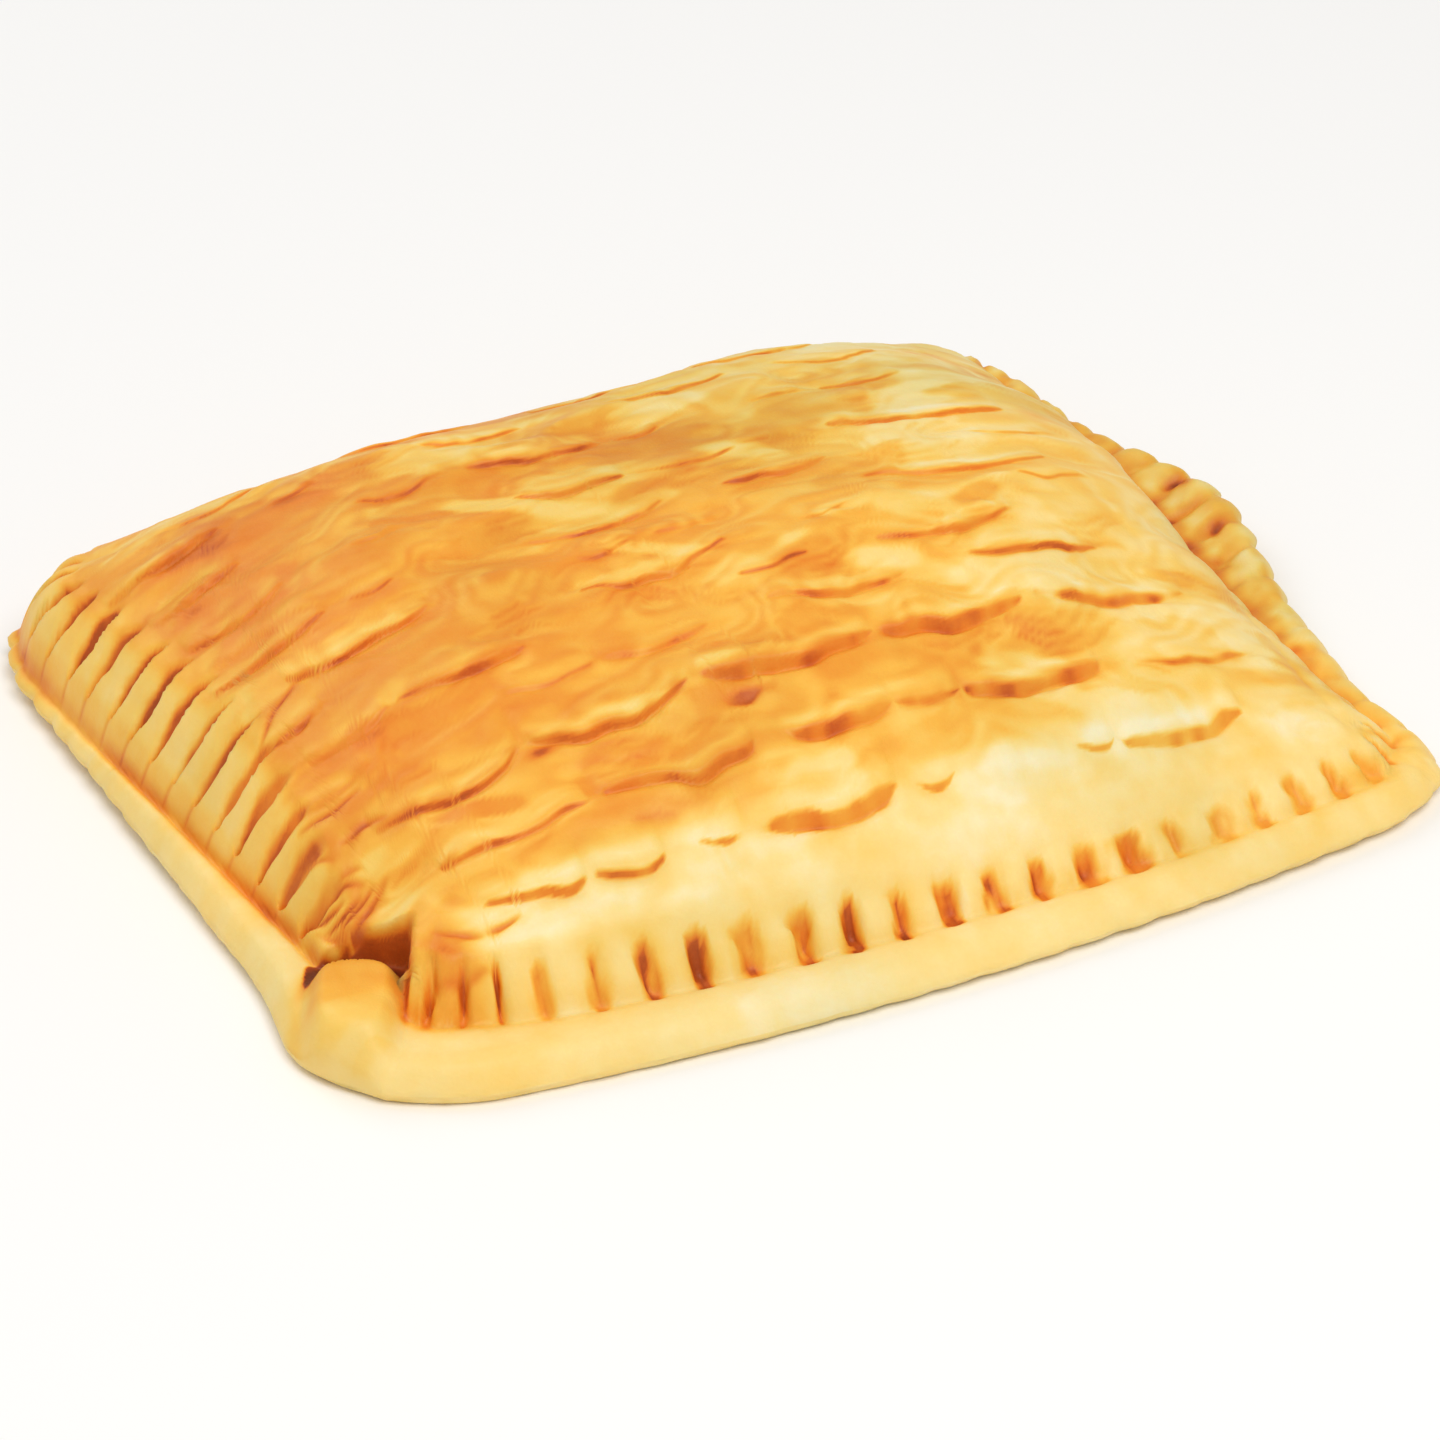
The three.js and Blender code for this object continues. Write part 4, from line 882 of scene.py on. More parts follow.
def slash_density(x, samples):
    """How close together the lines lie along the slashes at one column."""
    density = np.zeros_like(samples)
    past_end = fade(x, *SLASH_COLUMNS)
    for row, (_, _, slashes) in enumerate(SLASH_ROWS):
        line, _ = slash_row(row, np.array([x]))
        cut = max(
            smooth((x - left + SLASH_REST) / SLASH_REST) * smooth((right + SLASH_REST - x) / SLASH_REST)
            for left, right, _ in slashes
        )
        near_slash = cut * past_end * bell(samples, line[0] + SLASH_MIDDLE, SLASH_BAND)
        density = np.maximum(density, near_slash / SLASH_SPACING)
    return density


def crease_density(x, samples):
    density = np.zeros_like(samples)
    for from_x, from_y, to_x, to_y, bend, _ in CREASES:
        passed = (x - from_x) / (to_x - from_x)
        near = smooth(CREASE_REST * passed + 1) * smooth(CREASE_REST * (1 - passed) + 1)
        line = lerp(from_y, to_y, passed) + bend * math.sin(math.pi * clamp(passed, 0, 1))
        density = np.maximum(density, near * bell(samples, line, CREASE_BAND) / CREASE_SPACING)
    return density


def sheet_lines(x):
    """The places in y of the mesh's lines at one column.

    They bunch up beside the slashes and creases, and near the marks and the slot of the left end,
    where they also lean with the marks.
    """
    places = np.linspace(-HALF_DEPTH, HALF_DEPTH, DENSITY_SAMPLES)
    near_edge = smooth((EDGE_BAND - HALF_DEPTH + np.abs(places)) / EDGE_FADE)
    density = 1 / lerp(DOME_SPACING, EDGE_SPACING, near_edge)

    column = np.full_like(places, x)
    foot = rounded_inset(column, places) - flange_width(column, places)
    leaning = at_station(CRIMP_LEAN, column, places) * fade(x, *LEAN_COLUMNS)
    samples = places - leaning * clamp(foot, 0, LEAN_REACH)

    edge, share = slot_edge(x)
    by_slot = share * bell(samples, edge + CORNER_MIDDLE, CORNER_REACH)
    at_end = smooth((MARK_BAND - HALF_LENGTH + abs(x)) / MARK_FADE)
    density *= 1 + MARK_BUNCHING * at_end * (1 - by_slot) * crimp_strength(column, places)
    for other in (
        slash_density(x, samples),
        crease_density(x, samples),
        by_slot / CORNER_SPACING,
        share * bell(samples, edge, SLOT_EDGE_BAND) / SLOT_EDGE_SPACING,
    ):
        density = np.maximum(density, other)
    return even_by_density(density, samples, LINES)


def make_sheet():
    columns = sheet_columns()
    y = np.stack([sheet_lines(x) for x in columns])
    x = np.repeat(columns[:, None], LINES, axis=1)
    return x, y


# The fine surface

def rounded_inset(x, y):
    """The inset from the edge, with the line where two sides meet at a corner rounded off."""
    from_side, from_end = HALF_LENGTH - np.abs(x), HALF_DEPTH - np.abs(y)
    overlap = np.maximum(CORNER_BLEND - np.abs(from_side - from_end), 0) / CORNER_BLEND
    inset = np.minimum(from_side, from_end)
    return inset - overlap**2 * CORNER_BLEND / 4 * smooth(inset / CORNER_BLEND)


def wall_marks(x, y, foot):
    """The crimper's marks: their strength, where the wall has them, and how drawn out they are."""
    drawn_out = clamp(at_station(CRIMP_TAPER, x, y), 0, 1)
    frayed = 1 - drawn_out
    ragged = rough("mark edge", x, y) + rough("mark bend", x, y) + frayed * rough("mark fray", x, y)
    slimness = crimp_slimness(x, y, foot) * (1 + ragged) * lerp(1, CRIMP_SLIM, drawn_out)
    strength = crimp_strength(x, y, np.maximum(foot, 0), slimness)
    strength *= 1 + frayed * rough("mark depth", x, y)
    start, reach = at_station(CRIMP_START, x, y), at_station(CRIMP_REACH, x, y)
    past_top = smooth((foot / wall_run(x, y) - reach) / CRIMP_FADE + 1)
    return strength, smooth((foot - start + CRIMP_LEAD) / CRIMP_RISE) * (1 - past_top), drawn_out


def bulge_share(x, y):
    """The edge is lifted where the right side bulges."""
    return clamp(x / HALF_LENGTH, 0, 1) ** BULGE_POWER * bell(y, BULGE_AT, BULGE_WIDTH)


def body_height(x, y, inset, marked, drawn_out):
    """Height of the flange, the wall and the dome, with the marks pushed into the wall."""
    flange = flange_width(x, y)
    push = lerp(CRIMP_PUSH, DRAWN_PUSH, drawn_out)
    wall_share = clamp((inset - flange - push * marked) / wall_run(x, y), 0, 1)
    height = at_station(EDGE_THICKNESS, x, y) + FLANGE_CROWN * smooth(inset / CROWN_INSET)
    height += at_station(EDGE_LIFT, x, y) * (1 - smooth(inset / (flange + LIFT_REACH)))
    height += BULGE_LIFT * bulge_share(x, y) * (1 - smooth(inset / BULGE_INSET))
    height += at_station(WALL_RISE, x, y) * (1 - (1 - wall_share) ** WALL_FULLNESS)
    return height + dome_height(x, y) - at_station(CRIMP_SINK, x, y) * marked


def ledges(x, y, foot):
    """Small ledges in the crust to the right of the thumb."""
    across = fade(x, *LEDGE_LEFT) * fade(x, *LEDGE_RIGHT)
    up = smooth(foot) * fade(foot, *LEDGE_TOP) * (y < LEDGE_BACK)
    return LEDGE_HEIGHT * np.sin(foot * 2 * np.pi / LEDGE_PITCH) * across * up


def top_surface(x, y):
    """Height of the crust's top, how far it leans over sideways, and what marks it."""
    inset = rounded_inset(x, y)
    foot = inset - flange_width(x, y)
    strength, on_wall, drawn_out = wall_marks(x, y, foot)
    frayed = 1 - drawn_out
    height = body_height(x, y, inset, strength * on_wall, drawn_out)

    crease = at_station(FOOT_SINK, x, y) * bell(foot, 0, FOOT_WIDTH)
    on_flange = smooth((ROUGH_FOOT - foot) / ROUGH_FADE) * smooth(inset / ROUGH_FADE)
    pressed = at_station(FLANGE_CRIMP, x, y) * strength * on_flange
    pressed *= PRESSED_SHARE + rough("pressed", x, y)
    lumpy = clamp(at_station(FLANGE_ROUGH, x, y), 0, 1) * on_flange
    height -= lumpy * (rough("flange lumps", x, y) + rough("flange grain", x, y))
    thread = crimp_thread(x, y, foot) * drawn_out
    height -= crease + pressed + THREAD_DEPTH * thread

    relief, lean, groove, lip, shade = slash_relief(x, y)
    height += relief + ledges(x, y, foot)
    on_dome = fade(inset, *DOME_INSET)
    leaf_height, leaf_edge, leaf_tone_and_light = leaves(x, y)
    height += on_dome * (rough("dome lumps", x, y) + rough("dome folds", x, y) + leaf_height)
    creases = crease_share(x, y, CREASES, CREASE_WIDTH) * smooth((foot - CREASE_FOOT) / CREASE_FADE)
    wrinkles = crease_share(x, y, drawn_wrinkles(), WRINKLE_WIDTH) * on_dome
    height += rough("skin", x, y) * smooth(inset / SKIN_INSET) - CREASE_DEPTH * (creases + wrinkles)
    flakes = np.maximum(rough("flakes", x, y) + rough("fine flakes", x, y), 0)
    flaky = smooth(FLAKE_GAIN * flakes - FLAKE_START)
    height += FLAKE_HEIGHT * flaky * fade(inset, *FLAKE_INSET)

    recess = recess_share(x, y)
    height -= corner_dip(x, y) * smooth(foot / DIP_FOOT)
    height = lerp(height, np.minimum(height, RECESS_FLOOR), recess) + thumb_height(x, y)
    hang = RECESS_LEAN * overhang_share(x, y)
    turn = math.radians(THUMB_TURN)
    marks = {
        "groove": groove,
        # The slashes' painted lip highlight and painted shade
        "lip": lip,
        "shade": shade,
        "crimp": strength * on_wall,
        "tone": 2 * uneven(from_crimp(x, y)[1], TONE_SEED) - 1,
        "rib": (1 - clamp(strength, 0, 1)) * on_wall,
        "stain": crimp_strength(x, y, np.maximum(foot, 0), STAIN_WIDTH) * on_wall * frayed,
        "frayed": frayed * on_wall,
        "thread": thread,
        "pressed": pressed,
        "lumpy": lumpy,
        "foot crease": crease,
        "recess": recess,
        "foot": foot,
        "up wall": foot / wall_run(x, y),
        "flaky": flaky,
        "leaf edge shadow": leaf_edge * on_dome,
        "leaf tone and light": leaf_tone_and_light * on_dome,
        "creases": creases,
        "wrinkles": wrinkles,
    }
    return height, -hang * math.sin(turn), lean - hang * math.cos(turn), marks


def rim_drop(x, y, inset):
    """The edge is rounded over from its top down to its seam."""
    outer = clamp(1 - inset / RIM_RADIUS, 0, 1)
    return (1 - SEAM_SHARE) * at_station(EDGE_THICKNESS, x, y) * outer**RIM_POWER


def underside_lift(x, y):
    return np.maximum(at_station(EDGE_LIFT, x, y), 0) + BULGE_LIFT * bulge_share(x, y)


def scallop(x, y):
    return -at_station(SCALLOP_DEPTH, x, y) * crimp_strength(x, y)


def outward(plan_x, plan_y, distance):
    reach = np.hypot(plan_x, plan_y)
    return plan_x * (1 + distance / reach), plan_y * (1 + distance / reach)


# How brown the crust is: 0 is pale dough and 1 is nearly burnt

def mixed(shares, tones):
    return sum(share * tone for share, tone in zip(shares, tones))


def dome_browning(x, y, tones, leaf_tone_and_light):
    """The dome is browner to the left, with pale and brown patches."""
    brown = DOME_BROWN - PALE_RIGHT * fade(x, *PALE_RIGHT_X)
    brown -= PALE_BACK * fade(y, *PALE_BACK_Y) * fade(x, *PALE_BACK_X)
    brown += BROWN_LEFT * fade(-x, *BROWN_LEFT_X) - PALE_FRONT * fade(-y, *PALE_FRONT_Y)
    # The leaves' own tone with the painted light across them
    brown += mixed(DOME_TONES, tones) + LEAF_TONE_AND_LIGHT * leaf_tone_and_light
    to_right = fade(x, *PATCH_X)
    brown += lerp(*BROWN_PATCH, to_right) * smooth(layered("brown patches", x, y) - BROWN_START)
    brown -= lerp(*PALE_PATCH, to_right) * smooth(layered("pale patches", x, y) - PALE_START)

    ragged = 1 + mixed(TONE_RAGGED, tones[1:])
    for (middle_x, middle_y), width, depth, tilt, tone in TONE_PATCHES:
        across, up = (x - middle_x) / width, (y - middle_y - tilt * (x - middle_x)) / depth
        near = smooth(TONE_GAIN * np.exp(-(across**2) - up**2) * ragged - TONE_START)
        brown = lerp(brown, tone + TONE_GRAIN * tones[1], TONE_SHARE * near)

    softer = DOME_MOST + DOME_LIMIT * np.tanh((brown - DOME_MOST) / DOME_LIMIT)
    return np.maximum(np.where(brown > DOME_MOST, softer, brown), DOME_LEAST)


def slash_browning(x, y, brown, shoulder, marks):
    """Brown streaks in the slashes, painted shade about them, painted highlights on the lips behind them,
    and the painted shadow lines along the edges of the leaves.
    """
    brown = brown + PAINTED_SLASH_SHADE * marks["shade"] - LIP_HIGHLIGHT * marks["lip"]
    # Painted shadow lines along the leaves' edges
    line = LEAF_EDGE_SHADOW * marks["leaf edge shadow"] * (1 - LINE_SHOULDER * shoulder)
    brown += line * (1 - LINE_CALM * fade(brown, *LINE_BROWN))
    bold = bold_share(x, y)
    streak = lerp(*SLASH_BROWN, bold) + rough("slash brown", x, y)
    streak -= SLASH_FADE * fade(x, *SLASH_FADE_X) * fade(y, *SLASH_FADE_Y)
    streak += bold * rough("bold slash brown", x, y)
    on_shoulder = lerp(*SHOULDER_SLASH, fade(x, *SHOULDER_SLASH_X)) + rough("shoulder slash brown", x, y)
    streak = lerp(streak, on_shoulder, shoulder)
    share = clamp(SLASH_GAIN * marks["groove"], 0, 1) * (1 + STREAK_SHOULDER * shoulder)
    brown = lerp(brown, streak, smooth(share))
    calm = 1 - WRINKLE_CALM * fade(brown, *WRINKLE_BROWN)
    return brown + WRINKLE_DARK * marks["wrinkles"] * calm


def mark_browning(x, y, brown, shoulder, marks):
    """The crimper's marks, the crease at the wall's foot with its painted shade, and the listed creases."""
    frayed, tone = marks["frayed"], marks["tone"]
    to_right = fade(x, *FAINT_X)
    # Painted shade in the crease at the wall's foot
    brown = brown + at_station(FOOT_PAINTED_SHADE, x, y) * bell(marks["foot"], FOOT_AT, FOOT_REACH)
    brown += PRESSED_BROWN * marks["pressed"] + THREAD_BROWN * marks["thread"]
    stain = STAIN_BROWN * marks["stain"] * (STAIN_SHARE + rough("stain", x, y))
    brown += stain * (1 - FAINT_STAIN * to_right)

    mark = at_station(CRIMP_BROWN, x, y) + CRIMP_TONE * tone
    mark += rough("mark brown", x, y) + frayed * rough("frayed mark brown", x, y)
    faint = FAINT_SHARE * to_right * (y < FRONT_MARKS)
    mark = lerp(np.minimum(mark, CRIMP_MOST), FAINT_BROWN + FAINT_TONE * tone, faint)
    fill = lerp(*FILL_GAIN, frayed) * marks["crimp"] - lerp(*FILL_START, frayed)
    fill += lerp(*FILL_GRAIN, frayed) * rough("mark fill", x, y)
    brown = lerp(brown, mark, smooth(fill))
    brown = lerp(brown, CREASE_DARK - CREASE_SHOULDER * shoulder, clamp(marks["creases"], 0, 1))
    # Painted highlights on the small ridges inside the front left marks
    ridge_highlight = smooth(rough("ridges", x, y) - RIDGE_START) * smooth(RIDGE_GAIN * marks["crimp"])
    ridge_highlight *= frayed * fade(x, *RIDGE_X) * (y < FRONT_MARKS)
    brown = lerp(brown, RIDGE_HIGHLIGHT_BROWN, RIDGE_SHARE * ridge_highlight)
    return brown + CREASE_BROWN * marks["foot crease"] * (CREASE_SHARE + rough("foot crease", x, y))


def corner_browning(x, y, brown, fine, recess):
    """The dark slot, partly browned and partly painted shade, and the thumb with a painted shadow along its
    top edge and painted shade down its left side.
    """
    thumb = smooth(THUMB_GAIN * thumb_height(x, y) / THUMB_HEIGHT)
    # The slot's dark brown, partly browning and partly painted shade
    brown = lerp(brown, RECESS_BROWN_AND_SHADE, smooth(RECESS_GAIN * recess) * (1 - thumb))
    across, behind = thumb_place(x, y)
    own = lerp(*THUMB_BROWN, fade(behind, *THUMB_BEHIND)) + rough("thumb brown", across, behind)
    brown = lerp(brown, own + THUMB_TONE * fine, thumb)
    reach = thumb_reach(x, y)
    # Painted shadow along the thumb's top edge and painted shade down its left side
    rim = bell(reach, THUMB_RIM_AT, THUMB_RIM_WIDTH) * fade(behind, *THUMB_RIM_BEHIND)
    side = bell(reach, THUMB_SIDE_AT, THUMB_SIDE_WIDTH) * fade(behind, *THUMB_SIDE_BEHIND)
    return brown + THUMB_RIM_SHADOW * rim + THUMB_SIDE_SHADE * side * smooth(-across / THUMB_SIDE_ACROSS)


def top_browning(x, y, marks):
    foot = marks["foot"]
    tones = wide, fine, flaky = [layered(name + " tone", x, y) for name in ("wide", "fine", "flaky")]
    brown = dome_browning(x, y, tones, marks["leaf tone and light"])

    # The pale shoulder along the front: less browned, and partly a painted highlight where it faces the
    # light
    shoulder = fade(-y + mixed(SHOULDER_WANDER, tones), *SHOULDER_FRONT) * fade(x, *SHOULDER_X)
    blotches = rough("blotches", x, y) + rough("fine blotches", x, y)
    pale = SHOULDER_BROWN_AND_LIGHT + mixed(SHOULDER_TONES, (fine, flaky, blotches))
    # The leaves' own tone with the painted light across them, weaker on the shoulder
    pale += SHOULDER_LEAVES * LEAF_TONE_AND_LIGHT * marks["leaf tone and light"]
    brown = lerp(brown, pale, shoulder)

    # The flange: pale along the front and the left, golden along the right and the back
    specks = rough("specks", x, y) + rough("fine specks", x, y)
    flange = at_station(FLANGE_BROWN, x, y) + mixed(FLANGE_TONES, (wide, fine, specks * marks["lumpy"]))
    brown = lerp(brown, flange, fade(foot, *FLANGE_FOOT))

    # The wall between the marks with a painted highlight on its ribs, and the patches
    wall = smooth(foot / WALL_FOOT) * fade(marks["up wall"], *WALL_TOP)
    own = at_station(WALL_BROWN, x, y) + WALL_TONE * fine
    brown = lerp(brown, own, wall * (1 - WALL_SHOULDER * shoulder))
    # Painted highlight on the ribs between the marks
    brown -= at_station(RIB_HIGHLIGHT, x, y) * marks["rib"]
    ragged = 1 + rough("patch edge", x, y)
    for (middle_x, middle_y), width, depth, amount in BROWN_PATCHES:
        brown += amount * bell(x, middle_x, width * ragged) * bell(y, middle_y, depth * ragged)

    brown = slash_browning(x, y, brown, shoulder, marks)
    brown = mark_browning(x, y, brown, shoulder, marks)
    brown = corner_browning(x, y, brown, fine, marks["recess"])
    return clamp(brown - FLAKE_PALE * marks["flaky"], 0, BROWN_LIMIT)


def khaki_and_shade(x, y):
    """How much of a khaki tint a point gets: on the back and the right side it is partly the crust's own
    tone and partly painted shade, further from the light; the patches are its own tone.
    """
    back = KHAKI_AND_SHADE_BACK * fade(y, *KHAKI_BACK_Y) * fade(x, *KHAKI_BACK_X)
    right = KHAKI_AND_SHADE_RIGHT * fade(x, *KHAKI_RIGHT_X) * fade(y, *KHAKI_RIGHT_Y)
    patches = lerp(*KHAKI_PATCHES, fade(x, *KHAKI_PATCHES_X)) * layered("khaki patches", x, y)
    return clamp(KHAKI_LEAST + np.maximum(back, right) + patches, 0, 1)


# The mesh

def add_object(name, data):
    added = bpy.data.objects.new(name, data)
    bpy.context.scene.collection.objects.link(added)
    return added


def edge_loop(columns, lines):
    """The grid's border, anticlockwise from its front left corner, as column and line numbers."""
    i = list(range(columns)) + [columns - 1] * (lines - 1)
    i += list(range(columns - 2, -1, -1)) + [0] * (lines - 2)
    j = [0] * columns + list(range(1, lines))
    j += [lines - 1] * (columns - 1) + list(range(lines - 2, 0, -1))
    return np.array(i), np.array(j)


def grid_faces(columns, lines):
    corner = (np.arange(columns - 1)[:, None] * lines + np.arange(lines - 1)).ravel()
    return np.stack((corner, corner + lines, corner + lines + 1, corner + 1), axis=1)


def band_faces(lower, upper):
    return np.stack((lower, np.roll(lower, -1), np.roll(upper, -1), upper), axis=1)


def side_loop(x, y, share):
    """A loop of the rim below the seam: share runs from the seam to the underside."""
    plan_x, plan_y = plan(x, y)
    place, down = along(x, y), np.full_like(x, share)
    layers = rough("rim layers", place, down) + rough("rim fine layers", place, down)
    out = SEAM_OUT - UNDER_IN * share**2 + LAYER_DEPTH * layers * np.sin(np.pi * share)
    plan_x, plan_y = outward(plan_x, plan_y, scallop(x, y) + out)
    height = underside_lift(x, y) + SEAM_SHARE * at_station(EDGE_THICKNESS, x, y) * (1 - share)
    return plan_x, plan_y, height


def base_loop(x, y, share):
    """A loop of the underside: share runs from the rim to the edge of the flat base."""
    inward_x = x * (1 - share * BASE_INSET / HALF_LENGTH)
    inward_y = y * (1 - share * BASE_INSET / HALF_DEPTH)
    plan_x, plan_y = plan(inward_x, inward_y)
    plan_x, plan_y = outward(plan_x, plan_y, (scallop(x, y) + SEAM_OUT - UNDER_IN) * (1 - share))
    return plan_x, plan_y, underside_lift(x, y) * (1 - share)


def crust_arrays():
    """The vertices, faces and colouring of the whole crust."""
    x, y = make_sheet()
    height, lean_x, lean_y, marks = top_surface(x, y)
    height -= rim_drop(x, y, edge_inset(x, y))
    rim = clamp(1 - edge_inset(x, y) / RIM_RADIUS, 0, 1)
    out_x, out_y = outward(*plan(x, y), (SEAM_OUT + scallop(x, y)) * rim**RIM_OUT_POWER)
    vertices = [np.stack((out_x + lean_x, out_y + lean_y, height), axis=-1).reshape(-1, 3)]
    browns = [top_browning(x, y, marks).ravel()]
    khakis = [khaki_and_shade(x, y).ravel()]
    faces = [grid_faces(COLUMNS, LINES)]

    i, j = edge_loop(COLUMNS, LINES)
    edge_x, edge_y = x[i, j], y[i, j]
    upper = i * LINES + j

    def add_loop(loop, brown, khaki):
        nonlocal upper
        lower = sum(len(part) for part in vertices) + np.arange(len(i))
        vertices.append(loop)
        browns.append(brown)
        khakis.append(khaki)
        faces.append(band_faces(lower, upper))
        upper = lower

    rim_brown = at_station(FLANGE_BROWN, edge_x, edge_y) + rough("rim brown", edge_x, edge_y)
    # The rim takes the same khaki tint and painted shade as the top's edge
    rim_khaki = khaki_and_shade(edge_x, edge_y)
    for share in np.linspace(0, 1, SIDE_LINES + 1)[1:]:
        add_loop(np.stack(side_loop(edge_x, edge_y, share), axis=-1), rim_brown, rim_khaki)
    for share in np.linspace(0, 1, BASE_LINES + 1)[1:]:
        brown = lerp(rim_brown, BASE_BROWN, math.sqrt(share))
        add_loop(np.stack(base_loop(edge_x, edge_y, share), axis=-1), brown, rim_khaki)
    foot_edge = vertices[-1]
    for share in BASE_RINGS:
        add_loop(foot_edge * (share, share, 1), np.full(len(i), BASE_BROWN), np.zeros(len(i)))

    middle = np.full(len(i), sum(len(part) for part in vertices))
    vertices.append(np.zeros((1, 3)))
    browns.append(np.array([BASE_BROWN]))
    khakis.append(np.zeros(1))
    closing = np.stack((middle, np.roll(upper, -1), upper), axis=1)
    return np.concatenate(vertices), faces, closing, np.concatenate(browns), np.concatenate(khakis)


def fit_to_solid(vertices):
    """Centres the crust on the solid's box and keeps it inside."""
    low, high = (np.array(corner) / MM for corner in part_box("pie"))
    own_low, own_high = vertices.min(axis=0), vertices.max(axis=0)
    scale = np.minimum((high - low) / (own_high - own_low), 1.0)
    moved = (vertices - (own_low + own_high) / 2) * scale + (low + high) / 2
    moved[:, 2] = (vertices[:, 2] - own_low[2]) * scale[2] + low[2]
    return moved


def make_crust(material):
    vertices, quads, closing, browns, khakis = crust_arrays()
    faces = [face for band in quads for face in band.tolist()] + closing.tolist()
    mesh = bpy.data.meshes.new("crust")
    mesh.from_pydata((fit_to_solid(vertices) * MM).tolist(), [], faces)
    for name, values in (("browning", browns), ("khaki", khakis)):
        layer = mesh.attributes.new(name, "FLOAT", "POINT")
        layer.data.foreach_set("value", values.astype(np.float32))
    mesh.polygons.foreach_set("use_smooth", [True] * len(mesh.polygons))
    mesh.materials.append(material)
    return add_object("crust", mesh)


# The materials

def linear(red, green, blue):
    """A colour as it is seen on a screen, from 0 to 255, made linear for a shader."""
    def one(value):
        share = value / 255
        return share / 12.92 if share <= 0.04045 else ((share + 0.055) / 1.055) ** 2.4
    return one(red), one(green), one(blue), 1.0


class Nodes:
    """Short ways to add and join nodes of one material."""

    def __init__(self, name):
        self.material = bpy.data.materials.new(name)
        self.material.use_nodes = True
        self.tree = self.material.node_tree
        self.shader = self.tree.nodes["Principled BSDF"]

    def add(self, kind, **settings):
        node = self.tree.nodes.new(kind)
        for key, value in settings.items():
            setattr(node, key, value)
        return node

    def join(self, source, target):
        self.tree.links.new(source, target)

    def math(self, operation, first, second):
        node = self.add("ShaderNodeMath", operation=operation)
        for socket, value in zip(node.inputs, (first, second)):
            if isinstance(value, (int, float)):
                socket.default_value = value
            else:
                self.join(value, socket)
        return node.outputs[0]

    def set(self, node, values):
        for name, value in values.items():
            node.inputs[name].default_value = value

    def noise(self, coordinates, scale, detail, roughness):
        node = self.add("ShaderNodeTexNoise")
        self.set(node, {"Scale": scale, "Detail": detail, "Roughness": roughness})
        self.join(coordinates, node.inputs["Vector"])
        return node.outputs["Fac"]

    def attribute(self, name):
        return self.add("ShaderNodeAttribute", attribute_name=name).outputs["Fac"]


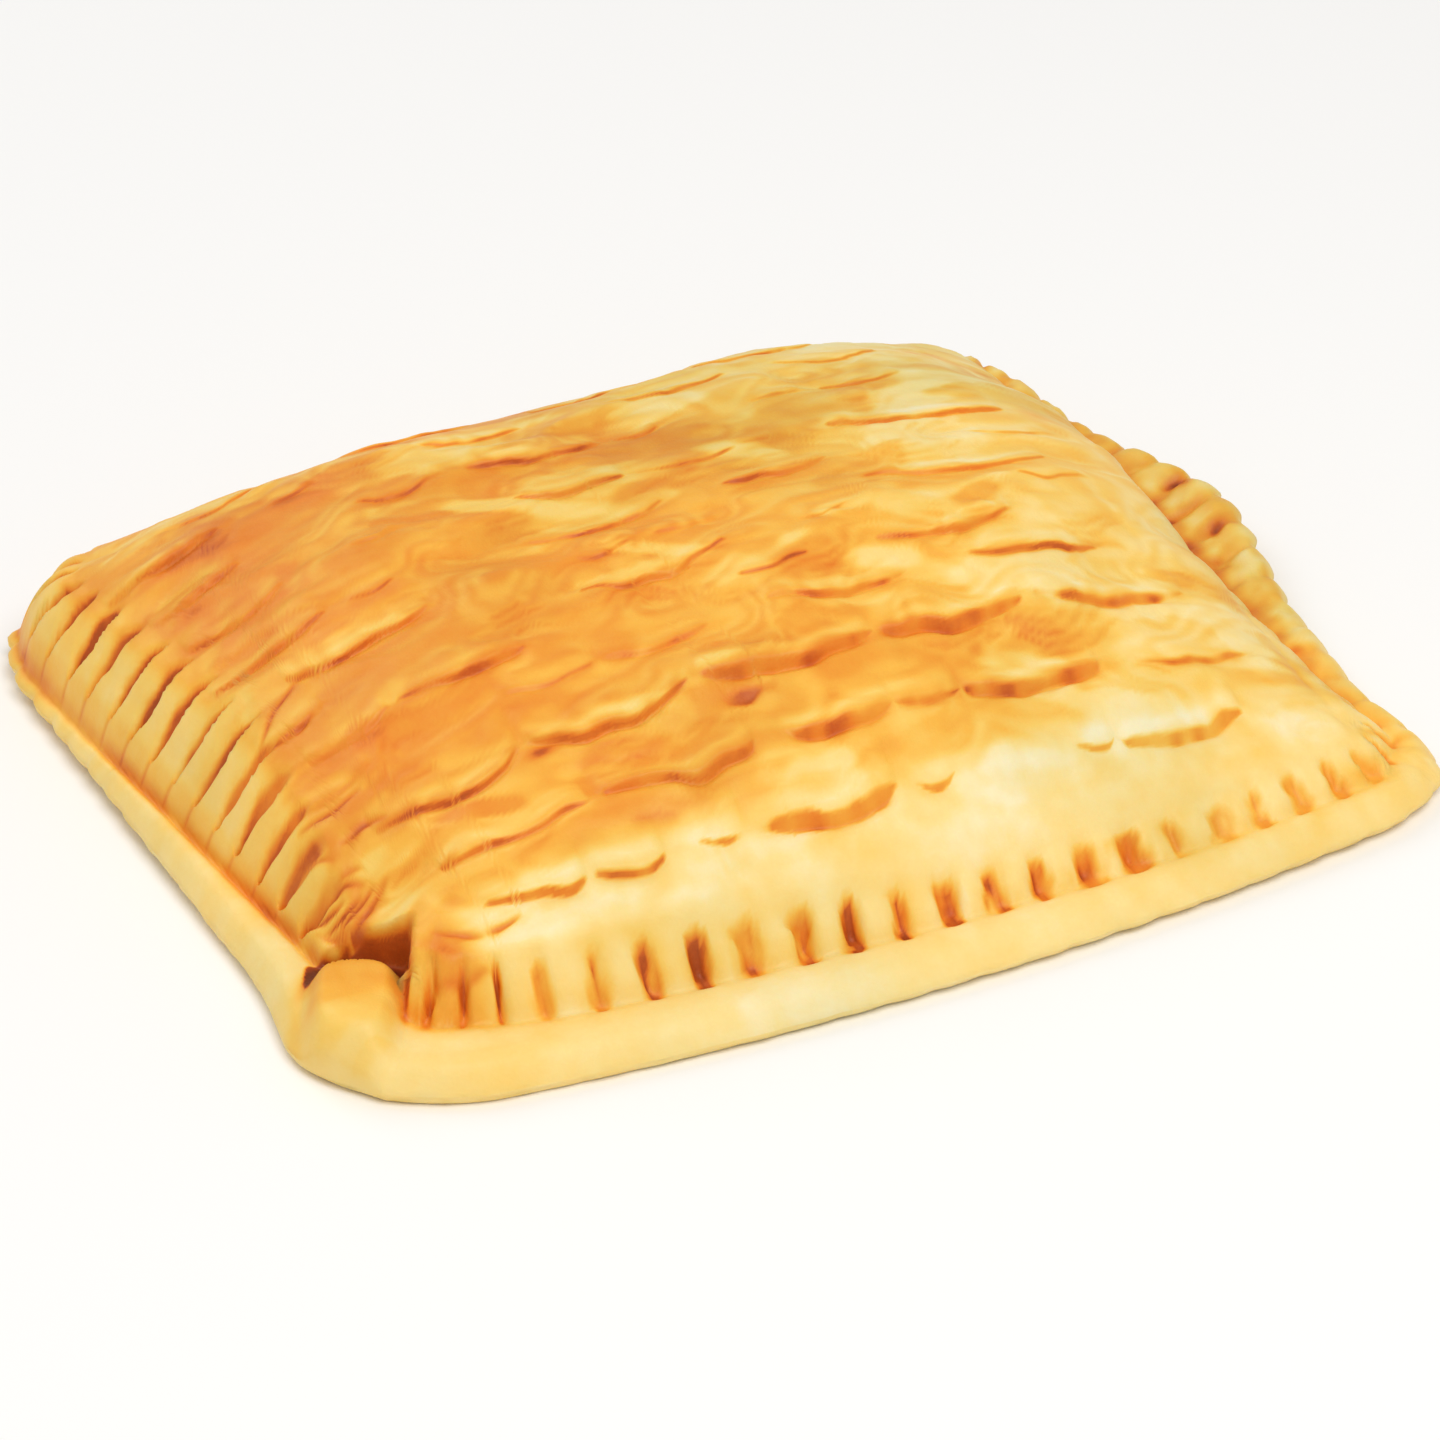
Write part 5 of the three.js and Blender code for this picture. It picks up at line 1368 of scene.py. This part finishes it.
def crust_material():
    nodes = Nodes("baked crust")
    place = nodes.add("ShaderNodeTexCoord").outputs["Object"]
    mottle, speckle = nodes.noise(place, *MOTTLE), nodes.noise(place, *SPECKLE)
    brown = nodes.attribute("browning")
    for texture, amount in ((mottle, MOTTLE_AMOUNT), (speckle, SPECKLE_AMOUNT)):
        shifted = nodes.math("SUBTRACT", texture, 0.5)
        brown = nodes.math("ADD", brown, nodes.math("MULTIPLY", shifted, amount))

    ramp = nodes.add("ShaderNodeValToRGB")
    while len(ramp.color_ramp.elements) < len(BROWNING_COLOURS):
        ramp.color_ramp.elements.new(0.5)
    for element, (position, colour) in zip(ramp.color_ramp.elements, BROWNING_COLOURS):
        element.position = position
        element.color = linear(*colour)
    nodes.join(nodes.math("DIVIDE", brown, BROWN_MOST), ramp.inputs["Fac"])

    # The khaki tint: the crust's own tone, with painted shade on the back and the right side
    tint = nodes.add("ShaderNodeMix", data_type="RGBA", blend_type="MULTIPLY")
    nodes.join(nodes.attribute("khaki"), tint.inputs["Factor"])
    nodes.join(ramp.outputs["Color"], tint.inputs["A"])
    tint.inputs["B"].default_value = KHAKI_TINT
    nodes.join(tint.outputs["Result"], nodes.shader.inputs["Base Color"])

    gloss = nodes.add("ShaderNodeMapRange")
    nodes.set(gloss, ROUGHNESS_RANGES)
    nodes.join(mottle, gloss.inputs["Value"])
    nodes.join(gloss.outputs["Result"], nodes.shader.inputs["Roughness"])
    nodes.set(nodes.shader, CRUST_SHADER)

    blisters, fine = nodes.noise(place, *BLISTERS), nodes.noise(place, *BUMP_GRAIN)
    relief = nodes.math("ADD", blisters, nodes.math("MULTIPLY", fine, BUMP_GRAIN_AMOUNT))
    bump = nodes.add("ShaderNodeBump")
    nodes.set(bump, {"Strength": BUMP_STRENGTH, "Distance": BUMP_DISTANCE})
    nodes.join(relief, bump.inputs["Height"])
    nodes.join(bump.outputs["Normal"], nodes.shader.inputs["Normal"])
    return nodes.material


def floor_material():
    nodes = Nodes("pale floor")
    nodes.set(nodes.shader, FLOOR_SHADER)
    return nodes.material


crust = make_crust(crust_material())
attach(crust, "root")
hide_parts("pie")


# The floor, the light and the camera

def make_floor(material):
    mesh = bpy.data.meshes.new("floor")
    corners = [(x * FLOOR_HALF, y * FLOOR_HALF, 0) for x, y in ((-1, -1), (1, -1), (1, 1), (-1, 1))]
    mesh.from_pydata(corners, [], [(0, 1, 2, 3)])
    mesh.materials.append(material)
    return add_object("floor", mesh)


def make_light(name, place, aim, size, power, colour):
    light = bpy.data.lights.new(name, "AREA")
    light.shape = "DISK"
    light.size = size
    light.energy = power
    light.color = colour
    lamp = add_object(name, light)
    lamp.location = place
    lamp.rotation_euler = (Vector(aim) - Vector(place)).to_track_quat("-Z", "Y").to_euler()


def make_camera():
    turn, pitch = math.radians(CAMERA_AZIMUTH), math.radians(CAMERA_PITCH)
    back = Vector((math.sin(turn) * math.cos(pitch), -math.cos(turn) * math.cos(pitch), math.sin(pitch)))
    data = bpy.data.cameras.new("camera")
    data.sensor_width = CAMERA_SENSOR
    data.lens = CAMERA_LENS
    data.clip_start, data.clip_end = CAMERA_CLIP
    camera = add_object("camera", data)
    camera.location = Vector(CAMERA_TARGET) + back * CAMERA_DISTANCE
    camera.rotation_euler = (-back).to_track_quat("-Z", "Y").to_euler()
    bpy.context.scene.camera = camera


def light_scene():
    world = bpy.data.worlds.new("studio")
    world.use_nodes = True
    background = world.node_tree.nodes["Background"]
    background.inputs["Color"].default_value = WORLD_COLOUR
    background.inputs["Strength"].default_value = WORLD_STRENGTH
    bpy.context.scene.world = world
    for light in LIGHTS:
        make_light(*light)
    bpy.context.scene.view_settings.view_transform = "Standard"


make_floor(floor_material())
light_scene()
make_camera()
